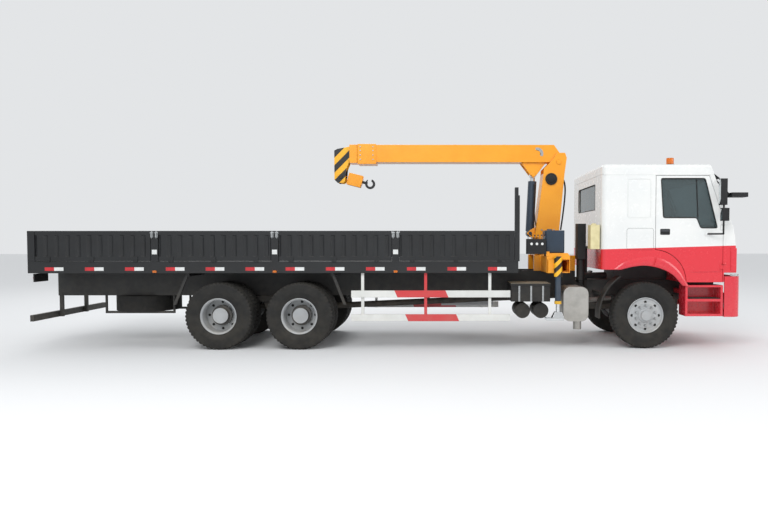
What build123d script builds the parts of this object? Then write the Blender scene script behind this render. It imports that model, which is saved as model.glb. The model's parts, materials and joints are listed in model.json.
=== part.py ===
"""A three-axle cab-over truck with a drop-side bed and a telescopic boom crane behind its cab.

Sizes are in millimetres. +X is forward, +Y is the truck's left and +Z is up. Pieces are drawn
with X = 0 over the front axle and Z = 0 on the ground, and save() moves them so that the origin
lies on the ground below the middle of the whole machine.
"""

import os
from math import atan2, cos, hypot, radians, sin

from build123d import *

# ---------------------------------------------------------------- running gear
WHEELBASE = 5825            # front axle to middle axle
TANDEM = 1350               # middle axle to rear axle
TYRE_R = 561
TYRE_W = 315
TYRE_SHOULDER = 45
BEAD_R = 285                # where tyre and rim meet
BEAD_W = 240
RIM_WALL = 14
DISC_T = 14
FRONT_TRACK = 2022          # between the front tyres' middles
TWIN_GAP = 30               # between the two tyres of a twin wheel
OVERALL_W = 2490            # over the outer rear tyres
KINGPIN_Y = 870
KINGPIN_R = 22
STEER_BOSS_R = 58
RUN_GAP = 0.5               # running clearance at pins and bushes
MOVE_GAP = 6                # clearance between pieces that move past each other

# ---------------------------------------------------------------- chassis
RAIL_W = 850                # over the two frame rails
RAIL_Z = (850, 1130)
RAIL_FLANGE = 80
RAIL_WALL = 10
RAIL_FRONT = 1440
SUBFRAME_TOP = 1285
SUBFRAME_W = 80
SUBFRAME_FRONT = -1050
CROSSMEMBER_X = (1380, 950, -900, -2100, -3100, -4200, -5150, -6500, -7750, -9500, -10150)
UNDERRUN_Z = (475, 580)
UNDERRUN_T = 60
TRUCK_HALF = 1225           # half width over the cab and the bed's side rails

GEARBOX_REAR = -1150

# ---------------------------------------------------------------- cab
CAB_REAR = -765
CAB_WALL = 50
CAB_ROOF = 3100
ROOF_SEAM = 2932
CAB_FLOOR = 1430            # underside of the floor over the front wheels
TUNNEL_HALF = 430
TUNNEL_TOP = 1560
PANEL_GAP = 6
SILL_REAR = 1336
DOOR_SILL = 1125
NOSE_X = 1500
NOSE_BOTTOM = 1285
TILT_PIVOT = (1515, 1246)
TILT_EYE_R = 28
DOOR_X = (138, 1265)
DOOR_TOP = 2905
DOOR_BELT = 2190
DOOR_BOTTOM_X = 660
DOOR_HEM = 1675
DOOR_HINGE_OUT = 10         # hinge axis outside the door skin
GLASS_T = 8
MIRROR_Y = (1330, 1425)

# ---------------------------------------------------------------- crane
SLEW_X = -1530
PEDESTAL_TOP = 1880
COLUMN_HALF = 200
COLUMN_TOP_Z = 3050
LUFF_PIVOT = (-1311, 3254)
LUFF_PIVOT_R = 45
LUFF_BASE = (-1814, 1957)   # foot pin of the luffing cylinder
LUFF_EAR = (-1762, 3036)    # rod pin below the boom
BARREL_R = 78
BARREL_LENGTH = 962
ROD_R = 45
ROD_EYE_R = 62
EAR_T = 25
BOOM_H = 316
BOOM_W = 320
BOOM_WALL = 10
BOOM_BOTTOM = 3252
BOOM_TAIL = -1395
BOOM_END = -4972
COLLAR_X = -4635
COLLAR_GROW = 34
MID_TAIL = -1900
MID_END = -5120
TIP_TAIL = -2060
TIP_END = -5165
HEAD_END = -5400
HEAD_Z = (2880, 3500)
HEAD_PIN = (-5290, 3000)
SHEAVE_R = 105
HOOK_PIN_HALF = 94
HOOK_TILT = 14              # hook block's axis below the boom's line when stowed

# ---------------------------------------------------------------- outriggers
HOUSING_X = (-1664, -1272)
HOUSING_Z = (1278, 1560)
HOUSING_WALL = 12
HOUSING_HALF = 1095
BEAM_H = 200
BEAM_LENGTH = 2080
JACK_Y = 1178
JACK_X = -1487
JACK_SLEEVE_R = 69
JACK_BARREL_R = 50
JACK_ROD_R = 34
JACK_BARREL_END = 760
FOOT_Z = (488, 630)
FOOT_X = (-1695, -1400)
FOOT_HALF_W = 100

# ---------------------------------------------------------------- bed
BED_REAR = -10330
BED_FRONT = -2160
BED_RAIL_Z = (1285, 1480)
BED_RAIL_T = 60
BOARD_Z = (1488, 1990)
BOARD_T = 45
BOARD_GAP = 8
POST_W = 120
POST_DEPTH = 60
DECK_T = 2                  # chequer plate laid on the floor inside the boards
DECK_INSET = 7
POST_X = (-8222, -6225, -4211)
HINGE_OUT = 15              # hinge axis outside the boards' outer face
HINGE_PIN_R = 8
HINGE_EYE_R = 9
TALL_POST_TOP = 2712

FRONT_REACH = 1725          # foremost point of the front mirror
REAR_REACH = -BED_REAR + HINGE_OUT + HINGE_EYE_R
ORIGIN_SHIFT = (REAR_REACH - FRONT_REACH) / 2

MIDDLE_AXLE = -WHEELBASE
REAR_AXLE = -WHEELBASE - TANDEM
TWIN_OUTER = OVERALL_W / 2 - TYRE_W / 2
TWIN_INNER = TWIN_OUTER - TYRE_W - TWIN_GAP
TWIN_MIDDLE = (TWIN_OUTER + TWIN_INNER) / 2
FRONT_WHEEL = FRONT_TRACK / 2
SIDES = {"right": -1, "left": 1}


# ---------------------------------------------------------------- drawing helpers
def block(x, y, z):
    """Box between two limits on each axis."""
    size = [max(a) - min(a) for a in (x, y, z)]
    middle = [(a[0] + a[1]) / 2 for a in (x, y, z)]
    return Pos(*middle) * Box(*size)


def rod(start, end, radius):
    """Round bar from one point to another."""
    line = Vector(*end) - Vector(*start)
    return Plane(origin=start, z_dir=line) * Cylinder(radius, line.length,
                                                      align=(Align.CENTER, Align.CENTER, Align.MIN))


def across(x, z, y, radius):
    """Round bar along Y, between the two values of y."""
    return rod((x, min(y), z), (x, max(y), z), radius)


def pipe(x, z, y, outer, inner):
    """Sleeve along Y."""
    return across(x, z, y, outer) - across(x, z, (min(y) - 1, max(y) + 1), inner)


def outline(*points):
    """Face in the XZ plane from its corners, where a nested triple is an arc's end and middle."""
    edges, last = [], points[0]
    for point in [*points[1:], points[0]]:
        if isinstance(point[0], tuple):
            edges.append(ThreePointArc(last, point[0], point[1]))
            last = point[1]
        else:
            edges.append(Line(last, point))
            last = point
    return make_face(edges)


def slab(face, y):
    """An XZ face carried along Y between two values."""
    return extrude(Plane.XZ.offset(-max(y)) * face, amount=max(y) - min(y))


def both(make):
    """The right-hand and left-hand copies of a piece."""
    return make(-1) + make(1)


def span(side, inner, outer):
    """Y limits on one side of the truck."""
    return (side * inner, side * outer)


def ring_of(profile):
    """Turned piece about Y from (radius, y) corners."""
    return revolve(make_face(Polyline(*profile, close=True)), Axis.Y)


def save(name, shape):
    moved = Pos(ORIGIN_SHIFT, 0, 0) * shape
    export_step(Compound(children=list(moved.solids())), f"parts/{name}.step")


os.makedirs("parts", exist_ok=True)


# ---------------------------------------------------------------- wheels
def tyre(middle):
    """Tyre turned about Y with a flat tread, round shoulders and a bulged wall."""
    half, bead = TYRE_W / 2, BEAD_W / 2
    edge, s = TYRE_R - TYRE_SHOULDER, TYRE_SHOULDER
    corner = s * (1 - cos(radians(45)))
    lines = [
        Line((BEAD_R, -bead), (BEAD_R, bead)),
        ThreePointArc((BEAD_R, bead), ((BEAD_R + edge) / 2, half - 4), (edge, half - 12)),
        ThreePointArc((edge, half - 12), (TYRE_R - corner, half - 12 - corner), (TYRE_R, half - 12 - s)),
        Line((TYRE_R, half - 12 - s), (TYRE_R, 12 + s - half)),
        ThreePointArc((TYRE_R, 12 + s - half), (TYRE_R - corner, 12 + corner - half), (edge, 12 - half)),
        ThreePointArc((edge, 12 - half), ((BEAD_R + edge) / 2, 4 - half), (BEAD_R, -bead)),
    ]
    return Pos(0, middle, 0) * revolve(make_face(lines), Axis.Y)


def rim_barrel(inner, outer):
    return pipe(0, 0, (inner, outer), BEAD_R, BEAD_R - RIM_WALL)


AXLE_TUBE_R = 72
HUB_BORE_R = AXLE_TUBE_R + RUN_GAP
REAR_HUB_R = 170
FRONT_HUB_R = 112
SPINDLE_R = 40
FRONT_DISC_Y = FRONT_WHEEL + 128
FRONT_CAP_Y = FRONT_DISC_Y + 62
REAR_CAP_Y = TWIN_OUTER + 40
AXLE_END_Y = TWIN_MIDDLE + 100
DRUM_R = 210
DRUM_END_Y = 920


def front_rim():
    """Rim, domed disc, hub and brake drum, bored for the spindle."""
    barrel = rim_barrel(FRONT_WHEEL - BEAD_W / 2, FRONT_WHEEL + BEAD_W / 2)
    disc = across(0, 0, (FRONT_DISC_Y - 22, FRONT_DISC_Y - 22 + DISC_T), BEAD_R - RIM_WALL)
    face = across(0, 0, (FRONT_DISC_Y - 8, FRONT_DISC_Y), 185)
    hub = across(0, 0, (DRUM_END_Y + 20, FRONT_CAP_Y), FRONT_HUB_R - 30)
    drum = across(0, 0, (DRUM_END_Y + 20, FRONT_DISC_Y - 22), DRUM_R - 15)
    bore = across(0, 0, (DRUM_END_Y, FRONT_CAP_Y - 20), SPINDLE_R + RUN_GAP)
    return barrel + disc + face + hub + drum - bore


def twin_rim():
    """Two rims bolted back to back on one hub, bored for the axle tube."""
    barrels = rim_barrel(TWIN_INNER - BEAD_W / 2, TWIN_OUTER + BEAD_W / 2)
    barrels -= across(0, 0, (TWIN_INNER + BEAD_W / 2, TWIN_OUTER - BEAD_W / 2), BEAD_R + 1)
    discs = across(0, 0, (TWIN_INNER + BEAD_W / 2 - DISC_T, TWIN_OUTER - BEAD_W / 2 + DISC_T),
                   BEAD_R - RIM_WALL)
    hub = across(0, 0, (TWIN_INNER - 90, REAR_CAP_Y), REAR_HUB_R - 40) + across(
        0, 0, (TWIN_INNER - 90, TWIN_MIDDLE + 60), REAR_HUB_R
    )
    bore = across(0, 0, (TWIN_INNER - 100, AXLE_END_Y + MOVE_GAP), HUB_BORE_R)
    return barrels + discs + hub - bore


for side_name, side in SIDES.items():
    turn = Rot(0, 0, 180) if side < 0 else Rot(0, 0, 0)
    save(f"tyre_front_{side_name}", Pos(0, 0, TYRE_R) * turn * tyre(FRONT_WHEEL))
    save(f"rim_front_{side_name}", Pos(0, 0, TYRE_R) * turn * front_rim())
    for axle_name, axle_x in (("middle", MIDDLE_AXLE), ("rear", REAR_AXLE)):
        place = Pos(axle_x, 0, TYRE_R) * turn
        tyres = [tyre(TWIN_INNER), tyre(TWIN_OUTER)]
        save(f"tyres_{axle_name}_{side_name}", place * Compound(children=tyres))
        save(f"rims_{axle_name}_{side_name}", place * twin_rim())

# ---------------------------------------------------------------- steering knuckles
YOKE_H = 55
BOSS_HALF_H = 50


def knuckle(side):
    """Fork, kingpin, backing plate and spindle of one steered wheel."""
    upper = block((-STEER_BOSS_R, STEER_BOSS_R), span(side, KINGPIN_Y - 45, KINGPIN_Y + 55),
                  (TYRE_R + BOSS_HALF_H + RUN_GAP, TYRE_R + BOSS_HALF_H + YOKE_H))
    lower = Pos(0, 0, -2 * BOSS_HALF_H - YOKE_H - RUN_GAP) * upper
    plate = block((-90, 90), span(side, KINGPIN_Y + 35, KINGPIN_Y + 55),
                  (TYRE_R - BOSS_HALF_H - YOKE_H, TYRE_R + BOSS_HALF_H + YOKE_H))
    plate -= Pos(0, side * KINGPIN_Y, TYRE_R) * Cylinder(STEER_BOSS_R + MOVE_GAP, 2 * BOSS_HALF_H)
    kingpin = Pos(0, side * KINGPIN_Y, TYRE_R) * Cylinder(KINGPIN_R, 2 * (BOSS_HALF_H + YOKE_H) - 10)
    spindle = across(0, TYRE_R, span(side, KINGPIN_Y + 40, FRONT_CAP_Y - 30), SPINDLE_R)
    spindle -= Pos(0, side * KINGPIN_Y, TYRE_R) * Cylinder(STEER_BOSS_R + MOVE_GAP, 2 * BOSS_HALF_H)
    return upper + lower + plate + kingpin + spindle


for side_name, side in SIDES.items():
    save(f"knuckle_{side_name}", knuckle(side))

# ---------------------------------------------------------------- axles, springs and drive shaft
BEAM_SIZE = 90
SPRING_W = 80
SPRING_T = 90
FRONT_SPRING_HALF = 760
REAR_SPRING_Z = 740


def front_axle():
    """Drop-centre beam between the kingpin bosses, with leaf springs up to the rails."""
    beam = block((-BEAM_SIZE / 2, BEAM_SIZE / 2), (-KINGPIN_Y + 110, KINGPIN_Y - 110),
                 (TYRE_R - 110, TYRE_R - 20))
    for side in (-1, 1):
        beam += block((-40, 40), span(side, KINGPIN_Y - 140, KINGPIN_Y), (TYRE_R - 45, TYRE_R + 45))
        beam += Pos(0, side * KINGPIN_Y, TYRE_R) * Cylinder(STEER_BOSS_R, 2 * BOSS_HALF_H)
        beam -= Pos(0, side * KINGPIN_Y, TYRE_R) * Cylinder(KINGPIN_R + RUN_GAP, 3 * BOSS_HALF_H)
        y = span(side, RAIL_W / 2 - SPRING_W, RAIL_W / 2)
        beam += block((-90, 90), y, (TYRE_R - 20, TYRE_R + 40))
        beam += block((-FRONT_SPRING_HALF, FRONT_SPRING_HALF), y, (TYRE_R + 40, TYRE_R + 40 + SPRING_T))
        for x in (-FRONT_SPRING_HALF, FRONT_SPRING_HALF):
            beam += block((x - 40, x + 40), y, (TYRE_R + 40, RAIL_Z[0]))
    return beam


def drive_axle(x):
    """Axle tube with its differential bowl."""
    tube = across(x, TYRE_R, (-AXLE_END_Y, AXLE_END_Y), AXLE_TUBE_R)
    bowl = Pos(x, 0, TYRE_R) * Sphere(220)
    nose = rod((x, 0, TYRE_R + 20), (x + 330, 0, TYRE_R + 60), 95)
    seats = both(lambda side: block((x - 70, x + 70), span(side, RAIL_W / 2 - 60, RAIL_W / 2 + 60),
                                    (TYRE_R, REAR_SPRING_Z)))
    return tube + bowl + nose + seats


def bogie(side):
    """Inverted leaf spring that rocks on its trunnion between the two drive axles."""
    middle = (MIDDLE_AXLE + REAR_AXLE) / 2
    y = span(side, RAIL_W / 2 - 40, RAIL_W / 2 + 40)
    spring = block((REAR_AXLE - 70, MIDDLE_AXLE + 70), y, (REAR_SPRING_Z, REAR_SPRING_Z + SPRING_T / 2))
    spring += block((middle - 400, middle + 400), y, (REAR_SPRING_Z + SPRING_T / 2, RAIL_Z[0] - 20))
    spring += slab(outline((middle - 180, RAIL_Z[0]), (middle + 180, RAIL_Z[0]), (middle + 70, TYRE_R),
                           (middle - 70, TYRE_R)), span(side, RAIL_W / 2 - 40, RAIL_W / 2 - 10))
    return spring + block((middle - 180, middle + 180), y, (RAIL_Z[0] - 25, RAIL_Z[0]))


shaft = rod((MIDDLE_AXLE + 330, 0, TYRE_R + 60), (GEARBOX_REAR - 4, 0, 820), 55)
link_shaft = rod((REAR_AXLE + 330, 0, TYRE_R + 60), (MIDDLE_AXLE - 200, 0, TYRE_R + 30), 50)
drive = drive_axle(MIDDLE_AXLE) + drive_axle(REAR_AXLE) + both(bogie) + shaft + link_shaft
save("axles_and_springs", front_axle() + drive)

# ---------------------------------------------------------------- chassis frame
RAIL_REAR = BED_REAR + 40
SPARE_X = -8850
SPARE_Z = (568, 848)
SPARE_R = 555
TILT_BRACKET_Y = (300, 380)


def rail(side):
    """Channel-section rail with the subframe beam on it."""
    web = block((RAIL_REAR, RAIL_FRONT), span(side, RAIL_W / 2 - RAIL_WALL, RAIL_W / 2), RAIL_Z)
    flanges = [block((RAIL_REAR, RAIL_FRONT), span(side, RAIL_W / 2 - RAIL_FLANGE, RAIL_W / 2),
                     (z, z + RAIL_WALL))
               for z in (RAIL_Z[0], RAIL_Z[1] - RAIL_WALL)]
    beam = block((RAIL_REAR, SUBFRAME_FRONT), span(side, RAIL_W / 2 - SUBFRAME_W, RAIL_W / 2),
                 (RAIL_Z[1], SUBFRAME_TOP))
    beam -= block((HOUSING_X[0], HOUSING_X[1]), (-HOUSING_HALF, HOUSING_HALF), (HOUSING_Z[0], SUBFRAME_TOP))
    return web + flanges[0] + flanges[1] + beam


def tilt_bracket(side):
    """Bracket on the rail's front end that carries the cab's tilt pin."""
    x, z = TILT_PIVOT
    y = span(side, *TILT_BRACKET_Y)
    arm = slab(outline((RAIL_FRONT - 160, RAIL_Z[1]), (RAIL_FRONT, RAIL_Z[1]), (x + 18, z - 22),
                       (x - 22, z + 18)), y)
    pin = across(x, z, span(side, TILT_BRACKET_Y[0] - 50, TILT_BRACKET_Y[1] + 50), TILT_EYE_R / 2)
    foot = block((RAIL_FRONT - 160, RAIL_FRONT), span(side, TILT_BRACKET_Y[0], RAIL_W / 2),
                 (RAIL_Z[1] - 20, RAIL_Z[1]))
    return arm + across(x, z, y, TILT_EYE_R) + pin + foot


def spare_carrier(side):
    """Bar below the spare wheel, hung from the rail."""
    y = span(side, 360, 400)
    bar = block((SPARE_X - 620, SPARE_X + 620), y, (SPARE_Z[0] - 40, SPARE_Z[0]))
    for x in (SPARE_X - 620, SPARE_X + 590):
        bar += block((x, x + 30), y, (SPARE_Z[0] - 40, RAIL_Z[0]))
    return bar


def struts(side):
    """Slanted mudguard and guard stays below the bed."""
    y = span(side, RAIL_W / 2 - 5, 1120)
    bars = []
    for top_x, low_x in ((-7713, -7944), (-5285, -5078)):
        beam = slab(outline((top_x - 25, BED_RAIL_Z[0]), (top_x + 25, BED_RAIL_Z[0]), (low_x + 25, 745),
                            (low_x - 25, 745)), span(side, 1085, 1120))
        bars.append(beam + block((top_x - 25, top_x + 25), y, (BED_RAIL_Z[0] - 60, BED_RAIL_Z[0])))
    return bars[0] + bars[1]


frame = both(rail)
for x in CROSSMEMBER_X:
    half = RAIL_W / 2 - RAIL_WALL
    frame += block((x - 40, x + 40), (-half, half), (RAIL_Z[0] + 30, RAIL_Z[1] - 30))
underrun = block((BED_REAR, BED_REAR + UNDERRUN_T), (-1190, 1190), UNDERRUN_Z)
for side in (-1, 1):
    hanger_y = span(side, RAIL_W / 2 - 45, RAIL_W / 2 + 5)
    underrun += block((BED_REAR + UNDERRUN_T, BED_REAR + UNDERRUN_T + 60), hanger_y,
                      (UNDERRUN_Z[0], RAIL_Z[0] + 60))
frame += underrun + both(tilt_bracket) + both(spare_carrier) + both(struts)
save("chassis_frame", frame)

# spare wheel lies flat on its carrier
spare = Pos(SPARE_X, 0, (SPARE_Z[0] + SPARE_Z[1]) / 2) * (Cylinder(SPARE_R, SPARE_Z[1] - SPARE_Z[0])
                                                          - Cylinder(BEAD_R - 40, 400))
spare += Pos(SPARE_X, 0, SPARE_Z[0] + 60) * Cylinder(BEAD_R, 20)
save("spare_wheel", spare)

# ---------------------------------------------------------------- power unit
ENGINE_X = (-350, 900)
ENGINE_HALF = 330
engine = block(ENGINE_X, (-ENGINE_HALF, ENGINE_HALF), (760, 1390))
engine += block((GEARBOX_REAR, ENGINE_X[0]), (-200, 200), (780, 1110))
engine += block((ENGINE_X[1], ENGINE_X[1] + 120), (-80, 80), (900, 1000))
engine += block((ENGINE_X[1] + 120, ENGINE_X[1] + 210), (-380, 380), (RAIL_Z[0] + 290, 1400))
engine += block((ENGINE_X[1] + 120, ENGINE_X[1] + 210), (-340, 340), (820, 1150))
for side in (-1, 1):
    engine += block((300, 400), span(side, ENGINE_HALF, RAIL_W / 2 - RAIL_WALL), (900, 1000))
engine -= block((950 - 40, 950 + 40), (-500, 500), (RAIL_Z[0] + 30, RAIL_Z[1] - 30))
engine -= block((-940, -860), (-500, 500), (RAIL_Z[0] + 30, RAIL_Z[1] - 30))
save("engine", engine)

# air intake stack and coolant tank behind the cab
INTAKE_X = (-1080, -930)
intake = block(INTAKE_X, (-760, -560), (1500, 2120)) + rod((-1005, -660, 1500), (-1005, -660, RAIL_Z[1]),
                                                           70)
intake += block((-1040, -970), (-700, -RAIL_W / 2), (RAIL_Z[1] - 40, RAIL_Z[1]))
intake += rod((-1005, -640, RAIL_Z[1] + 75), (-500, -ENGINE_HALF - 40, RAIL_Z[1] + 75), 55)
coolant = block((-945, -790), (-1180, -960), (1680, 2090)) + Pos(-868, -1070, 2090) * Cylinder(40, 50)
coolant += block((-900, -840), (-960, -RAIL_W / 2), (1690, 1730))
coolant += block((-900, -840), (-RAIL_W / 2 - 40, -RAIL_W / 2), (1000, 1730))
save("intake_and_coolant_tank", intake + coolant)

# ---------------------------------------------------------------- bumper, steps and mudguards
BUMPER_X = (1303, 1596)
BUMPER_Z = (541, 1225)
BUMPER_WALL = 24
bumper = block(BUMPER_X, (-1215, 1215), BUMPER_Z)
bumper = fillet(bumper.edges().filter_by(Axis.Z).group_by(Axis.X)[-1], 150)
core_x = (BUMPER_X[0] - 10, BUMPER_X[1] - BUMPER_WALL)
core = block(core_x, (-1215 + BUMPER_WALL, 1215 - BUMPER_WALL),
             (BUMPER_Z[0] + BUMPER_WALL, BUMPER_Z[1] + 10))
core = fillet(core.edges().filter_by(Axis.Z).group_by(Axis.X)[-1], 150 - BUMPER_WALL)
bumper -= core
bumper -= block((BUMPER_X[1] - 60, BUMPER_X[1] + 10), (-620, 620), (900, 1090))
for side in (-1, 1):
    bumper += block((RAIL_FRONT, BUMPER_X[1] - BUMPER_WALL), span(side, RAIL_W / 2 - 60, RAIL_W / 2),
                    (900 - 60, 960))
TOW_PIN_R = 20
bumper -= Pos(BUMPER_X[1], 0, 700) * Rot(0, 90, 0) * Cylinder(TOW_PIN_R, 120)
save("front_bumper", bumper)

STEP_X = (650, 1283)
STEP_Z = (552, 1075)
STEP_INNER = 900


def steps(side):
    """Two-tread step box with an open face, carried by two arms from the rail."""
    box = block(STEP_X, span(side, STEP_INNER, 1210), STEP_Z)
    for low, high in ((STEP_Z[0] + 40, 800), (845, 1040)):
        box -= block((STEP_X[0] + 40, STEP_X[1] - 40), span(side, STEP_INNER + 40, 1300), (low, high))
    for x in (720, 1180):
        box += block((x, x + 50), span(side, RAIL_W / 2, STEP_INNER), (900, 980))
    return box


save("cab_steps", both(steps))
GUARD_R = (775, 800)


def front_guard(side):
    """Curved mudguard behind the front wheel."""
    arc = ring_of([(GUARD_R[0], -1), (GUARD_R[1], -1), (GUARD_R[1], 1), (GUARD_R[0], 1)])
    arc = Pos(0, side * 1040, TYRE_R) * scale(arc, by=(1, 140, 1))
    arc &= slab(outline((0, TYRE_R), (-1000, TYRE_R - 60), (-1000, 1400), (-560, 1400)),
                span(side, 800, 1250))
    stay = block((-745, -695), span(side, RAIL_W / 2, 1000), (900, 940))
    return arc + stay


save("front_mudguards", both(front_guard))

# ---------------------------------------------------------------- tanks, muffler and batteries
FUEL_X = (-3450, -2450)
fuel = block(FUEL_X, (470, 1120), (570, 1120))
fuel = fillet(fuel.edges().filter_by(Axis.X), 110)
for x in (FUEL_X[0] + 180, FUEL_X[1] - 180):
    fuel += block((x - 30, x + 30), (RAIL_W / 2, 500), (RAIL_Z[0], RAIL_Z[1] - 40))
fuel += Pos(FUEL_X[1] - 300, 900, 1120) * Cylinder(50, 60)
save("fuel_tank", fuel)

MUFFLER_X = (-1388, -965)
PIPE_R = 42
PIPE_Z = RAIL_Z[0] - PIPE_R - 15
muffler = block(MUFFLER_X, (-1150, -560), (460, 1044))
muffler = fillet(muffler.edges().filter_by(Axis.Y), 120)
muffler += Pos(-1105, -900, 460) * Cylinder(70, 320)
muffler += rod((MUFFLER_X[1] - 40, -860, PIPE_Z), (-700, -620, PIPE_Z), PIPE_R) + Pos(-700, -620,
                                                                                      PIPE_Z) * Sphere(PIPE_R)
muffler += rod((-700, -620, PIPE_Z), (-420, -ENGINE_HALF - 50, PIPE_Z), PIPE_R)
for z in (880, 960):
    muffler += block((-1250, -1200), (-560, -RAIL_W / 2), (z, z + 40))
save("muffler", muffler)

BATTERY_X = (-2270, -1612)
AIR_TANK_X = (-2067, -1754)
AIR_TANK_Z = 635
AIR_TANK_R = 130
battery = block(BATTERY_X, (-1150, -520), (797, 1060)) + block((-2280, -1605), (-1160, -510), (1060, 1105))
battery += block((BATTERY_X[0] + 40, BATTERY_X[1] - 40), (-520, -RAIL_W / 2), (880, 960))
for x in AIR_TANK_X:
    battery += across(x, AIR_TANK_Z, (-1050, -560), AIR_TANK_R)
    battery += block((x - 25, x + 25), (-960, -920), (AIR_TANK_Z + AIR_TANK_R - 10, 797))
    battery += block((x - 25, x + 25), (-700, -660), (AIR_TANK_Z + AIR_TANK_R - 10, 797))
save("battery_box", battery)

# ---------------------------------------------------------------- side guards
GUARD_X = (-4959, -2290)
GUARD_RAIL_Z = ((473, 590), (873, 990))
GUARD_STAY_X = (-4770, -3712, -2633)
GUARD_Y = (1170, 1200)


def side_guard(side):
    """Two rails on three uprights, each hung from an arm under the bed."""
    guard = block(GUARD_X, span(side, *GUARD_Y), GUARD_RAIL_Z[0]) + block(GUARD_X, span(side, *GUARD_Y),
                                                                          GUARD_RAIL_Z[1])
    for x in GUARD_STAY_X:
        guard += block((x - 25, x + 25), span(side, GUARD_Y[0] - 40, GUARD_Y[0]),
                       (GUARD_RAIL_Z[0][0], BED_RAIL_Z[0]))
    return guard


save("side_guards", both(side_guard))

# ---------------------------------------------------------------- bed
FLOOR_T = 40
CROSSBEAM_PITCH = 500
GATE_HINGE_Y = (-800, 0, 800)


def bed_rail(side):
    """Side rail with the hinge lugs of its four boards."""
    beam = block((BED_REAR, BED_FRONT), span(side, TRUCK_HALF - BED_RAIL_T, TRUCK_HALF), BED_RAIL_Z)
    for start, end in board_spans():
        for x in lug_places(start, end):
            lug = rod((x - 60, side * (TRUCK_HALF + HINGE_OUT), BED_RAIL_Z[1]),
                      (x - 25, side * (TRUCK_HALF + HINGE_OUT), BED_RAIL_Z[1]), HINGE_EYE_R)
            beam += lug + block((x - 60, x - 25), span(side, TRUCK_HALF - 1, TRUCK_HALF + HINGE_OUT),
                                (BED_RAIL_Z[1] - HINGE_EYE_R, BED_RAIL_Z[1]))
            beam += rod((x - 60, side * (TRUCK_HALF + HINGE_OUT), BED_RAIL_Z[1]),
                        (x + 20, side * (TRUCK_HALF + HINGE_OUT), BED_RAIL_Z[1]), HINGE_PIN_R / 2)
    return beam


def board_spans():
    """Start and end of each board between the posts, from the rear."""
    stops = [BED_REAR + POST_W, *[v for x in POST_X for v in (x - POST_W / 2, x + POST_W / 2)],
             BED_FRONT - POST_W / 2]
    return [(stops[i] + BOARD_GAP, stops[i + 1] - BOARD_GAP) for i in range(0, len(stops), 2)]


def lug_places(start, end):
    """Three hinges evenly placed along one board."""
    return [start + (end - start) * share for share in (0.12, 0.5, 0.88)]


inner = TRUCK_HALF - BED_RAIL_T
floor = block((BED_REAR, BED_FRONT), (-inner, inner), (BED_RAIL_Z[1] - FLOOR_T, BED_RAIL_Z[1]))
beam_count = int((BED_FRONT - BED_REAR) // CROSSBEAM_PITCH) + 1
beam_step = (BED_FRONT - BED_REAR - 80) / (beam_count - 1)
for i in range(beam_count):
    x = BED_REAR + 40 + i * beam_step
    floor += block((x - 30, x + 30), (-inner, inner), (SUBFRAME_TOP, BED_RAIL_Z[1] - FLOOR_T))
for y in GATE_HINGE_Y:
    x, z = BED_REAR - HINGE_OUT, BED_RAIL_Z[1]
    floor += across(x, z, (y + 31, y + 60), HINGE_EYE_R) + across(x, z, (y - 25, y + 60), HINGE_PIN_R / 2)
    floor += block((x, BED_REAR + 1), (y + 31, y + 60), (z - HINGE_EYE_R, z))
deck_x = (BED_REAR + BOARD_T + DECK_INSET, BED_FRONT - BOARD_T - DECK_INSET)
deck_half = TRUCK_HALF - POST_DEPTH - DECK_INSET
floor += block(deck_x, (-deck_half, deck_half), (BED_RAIL_Z[1], BED_RAIL_Z[1] + DECK_T))
save("bed_floor", floor + both(bed_rail))

posts = block((BED_FRONT - BOARD_T, BED_FRONT), (-TRUCK_HALF, TRUCK_HALF), (BED_RAIL_Z[1], BOARD_Z[1]))
for side in (-1, 1):
    y = span(side, TRUCK_HALF - POST_DEPTH, TRUCK_HALF)
    for low, high in [(BED_REAR, BED_REAR + POST_W), (BED_FRONT - POST_W / 2, BED_FRONT),
                      *[(x - POST_W / 2, x + POST_W / 2) for x in POST_X]]:
        posts += block((low, high), y, (BED_RAIL_Z[1], BOARD_Z[1]))
tall = span(-1, TRUCK_HALF - 70, TRUCK_HALF)
posts += block((BED_FRONT - 60, BED_FRONT), tall, (BOARD_Z[1], TALL_POST_TOP))
posts += block((BED_FRONT, BED_FRONT + 22), tall, (BED_RAIL_Z[1], TALL_POST_TOP - 133))
save("bed_posts", posts)


def side_board(side, start, end):
    """Ribbed board with a half of each hinge at its lower outer edge."""
    board = block((start, end), span(side, TRUCK_HALF - BOARD_T, TRUCK_HALF), BOARD_Z)
    axis_y, axis_z = side * (TRUCK_HALF + HINGE_OUT), BED_RAIL_Z[1]
    for x in lug_places(start, end):
        board += block((x - 20, x + 20), span(side, TRUCK_HALF - 10, TRUCK_HALF + HINGE_OUT + HINGE_EYE_R),
                       (BOARD_Z[0], BOARD_Z[0] + 50))
        board += rod((x - 20, axis_y, axis_z), (x + 20, axis_y, axis_z), HINGE_EYE_R)
        board += block((x - 20, x + 20), span(side, TRUCK_HALF + HINGE_OUT - HINGE_EYE_R + 1,
                                              TRUCK_HALF + HINGE_OUT + HINGE_EYE_R),
                       (axis_z, BOARD_Z[0]))
        board -= rod((x - 30, axis_y, axis_z), (x + 30, axis_y, axis_z), HINGE_PIN_R / 2 + RUN_GAP)
    return board


for side_name, side in SIDES.items():
    for number, (start, end) in enumerate(board_spans(), 1):
        save(f"side_board_{side_name}_{number}", side_board(side, start, end))

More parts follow.
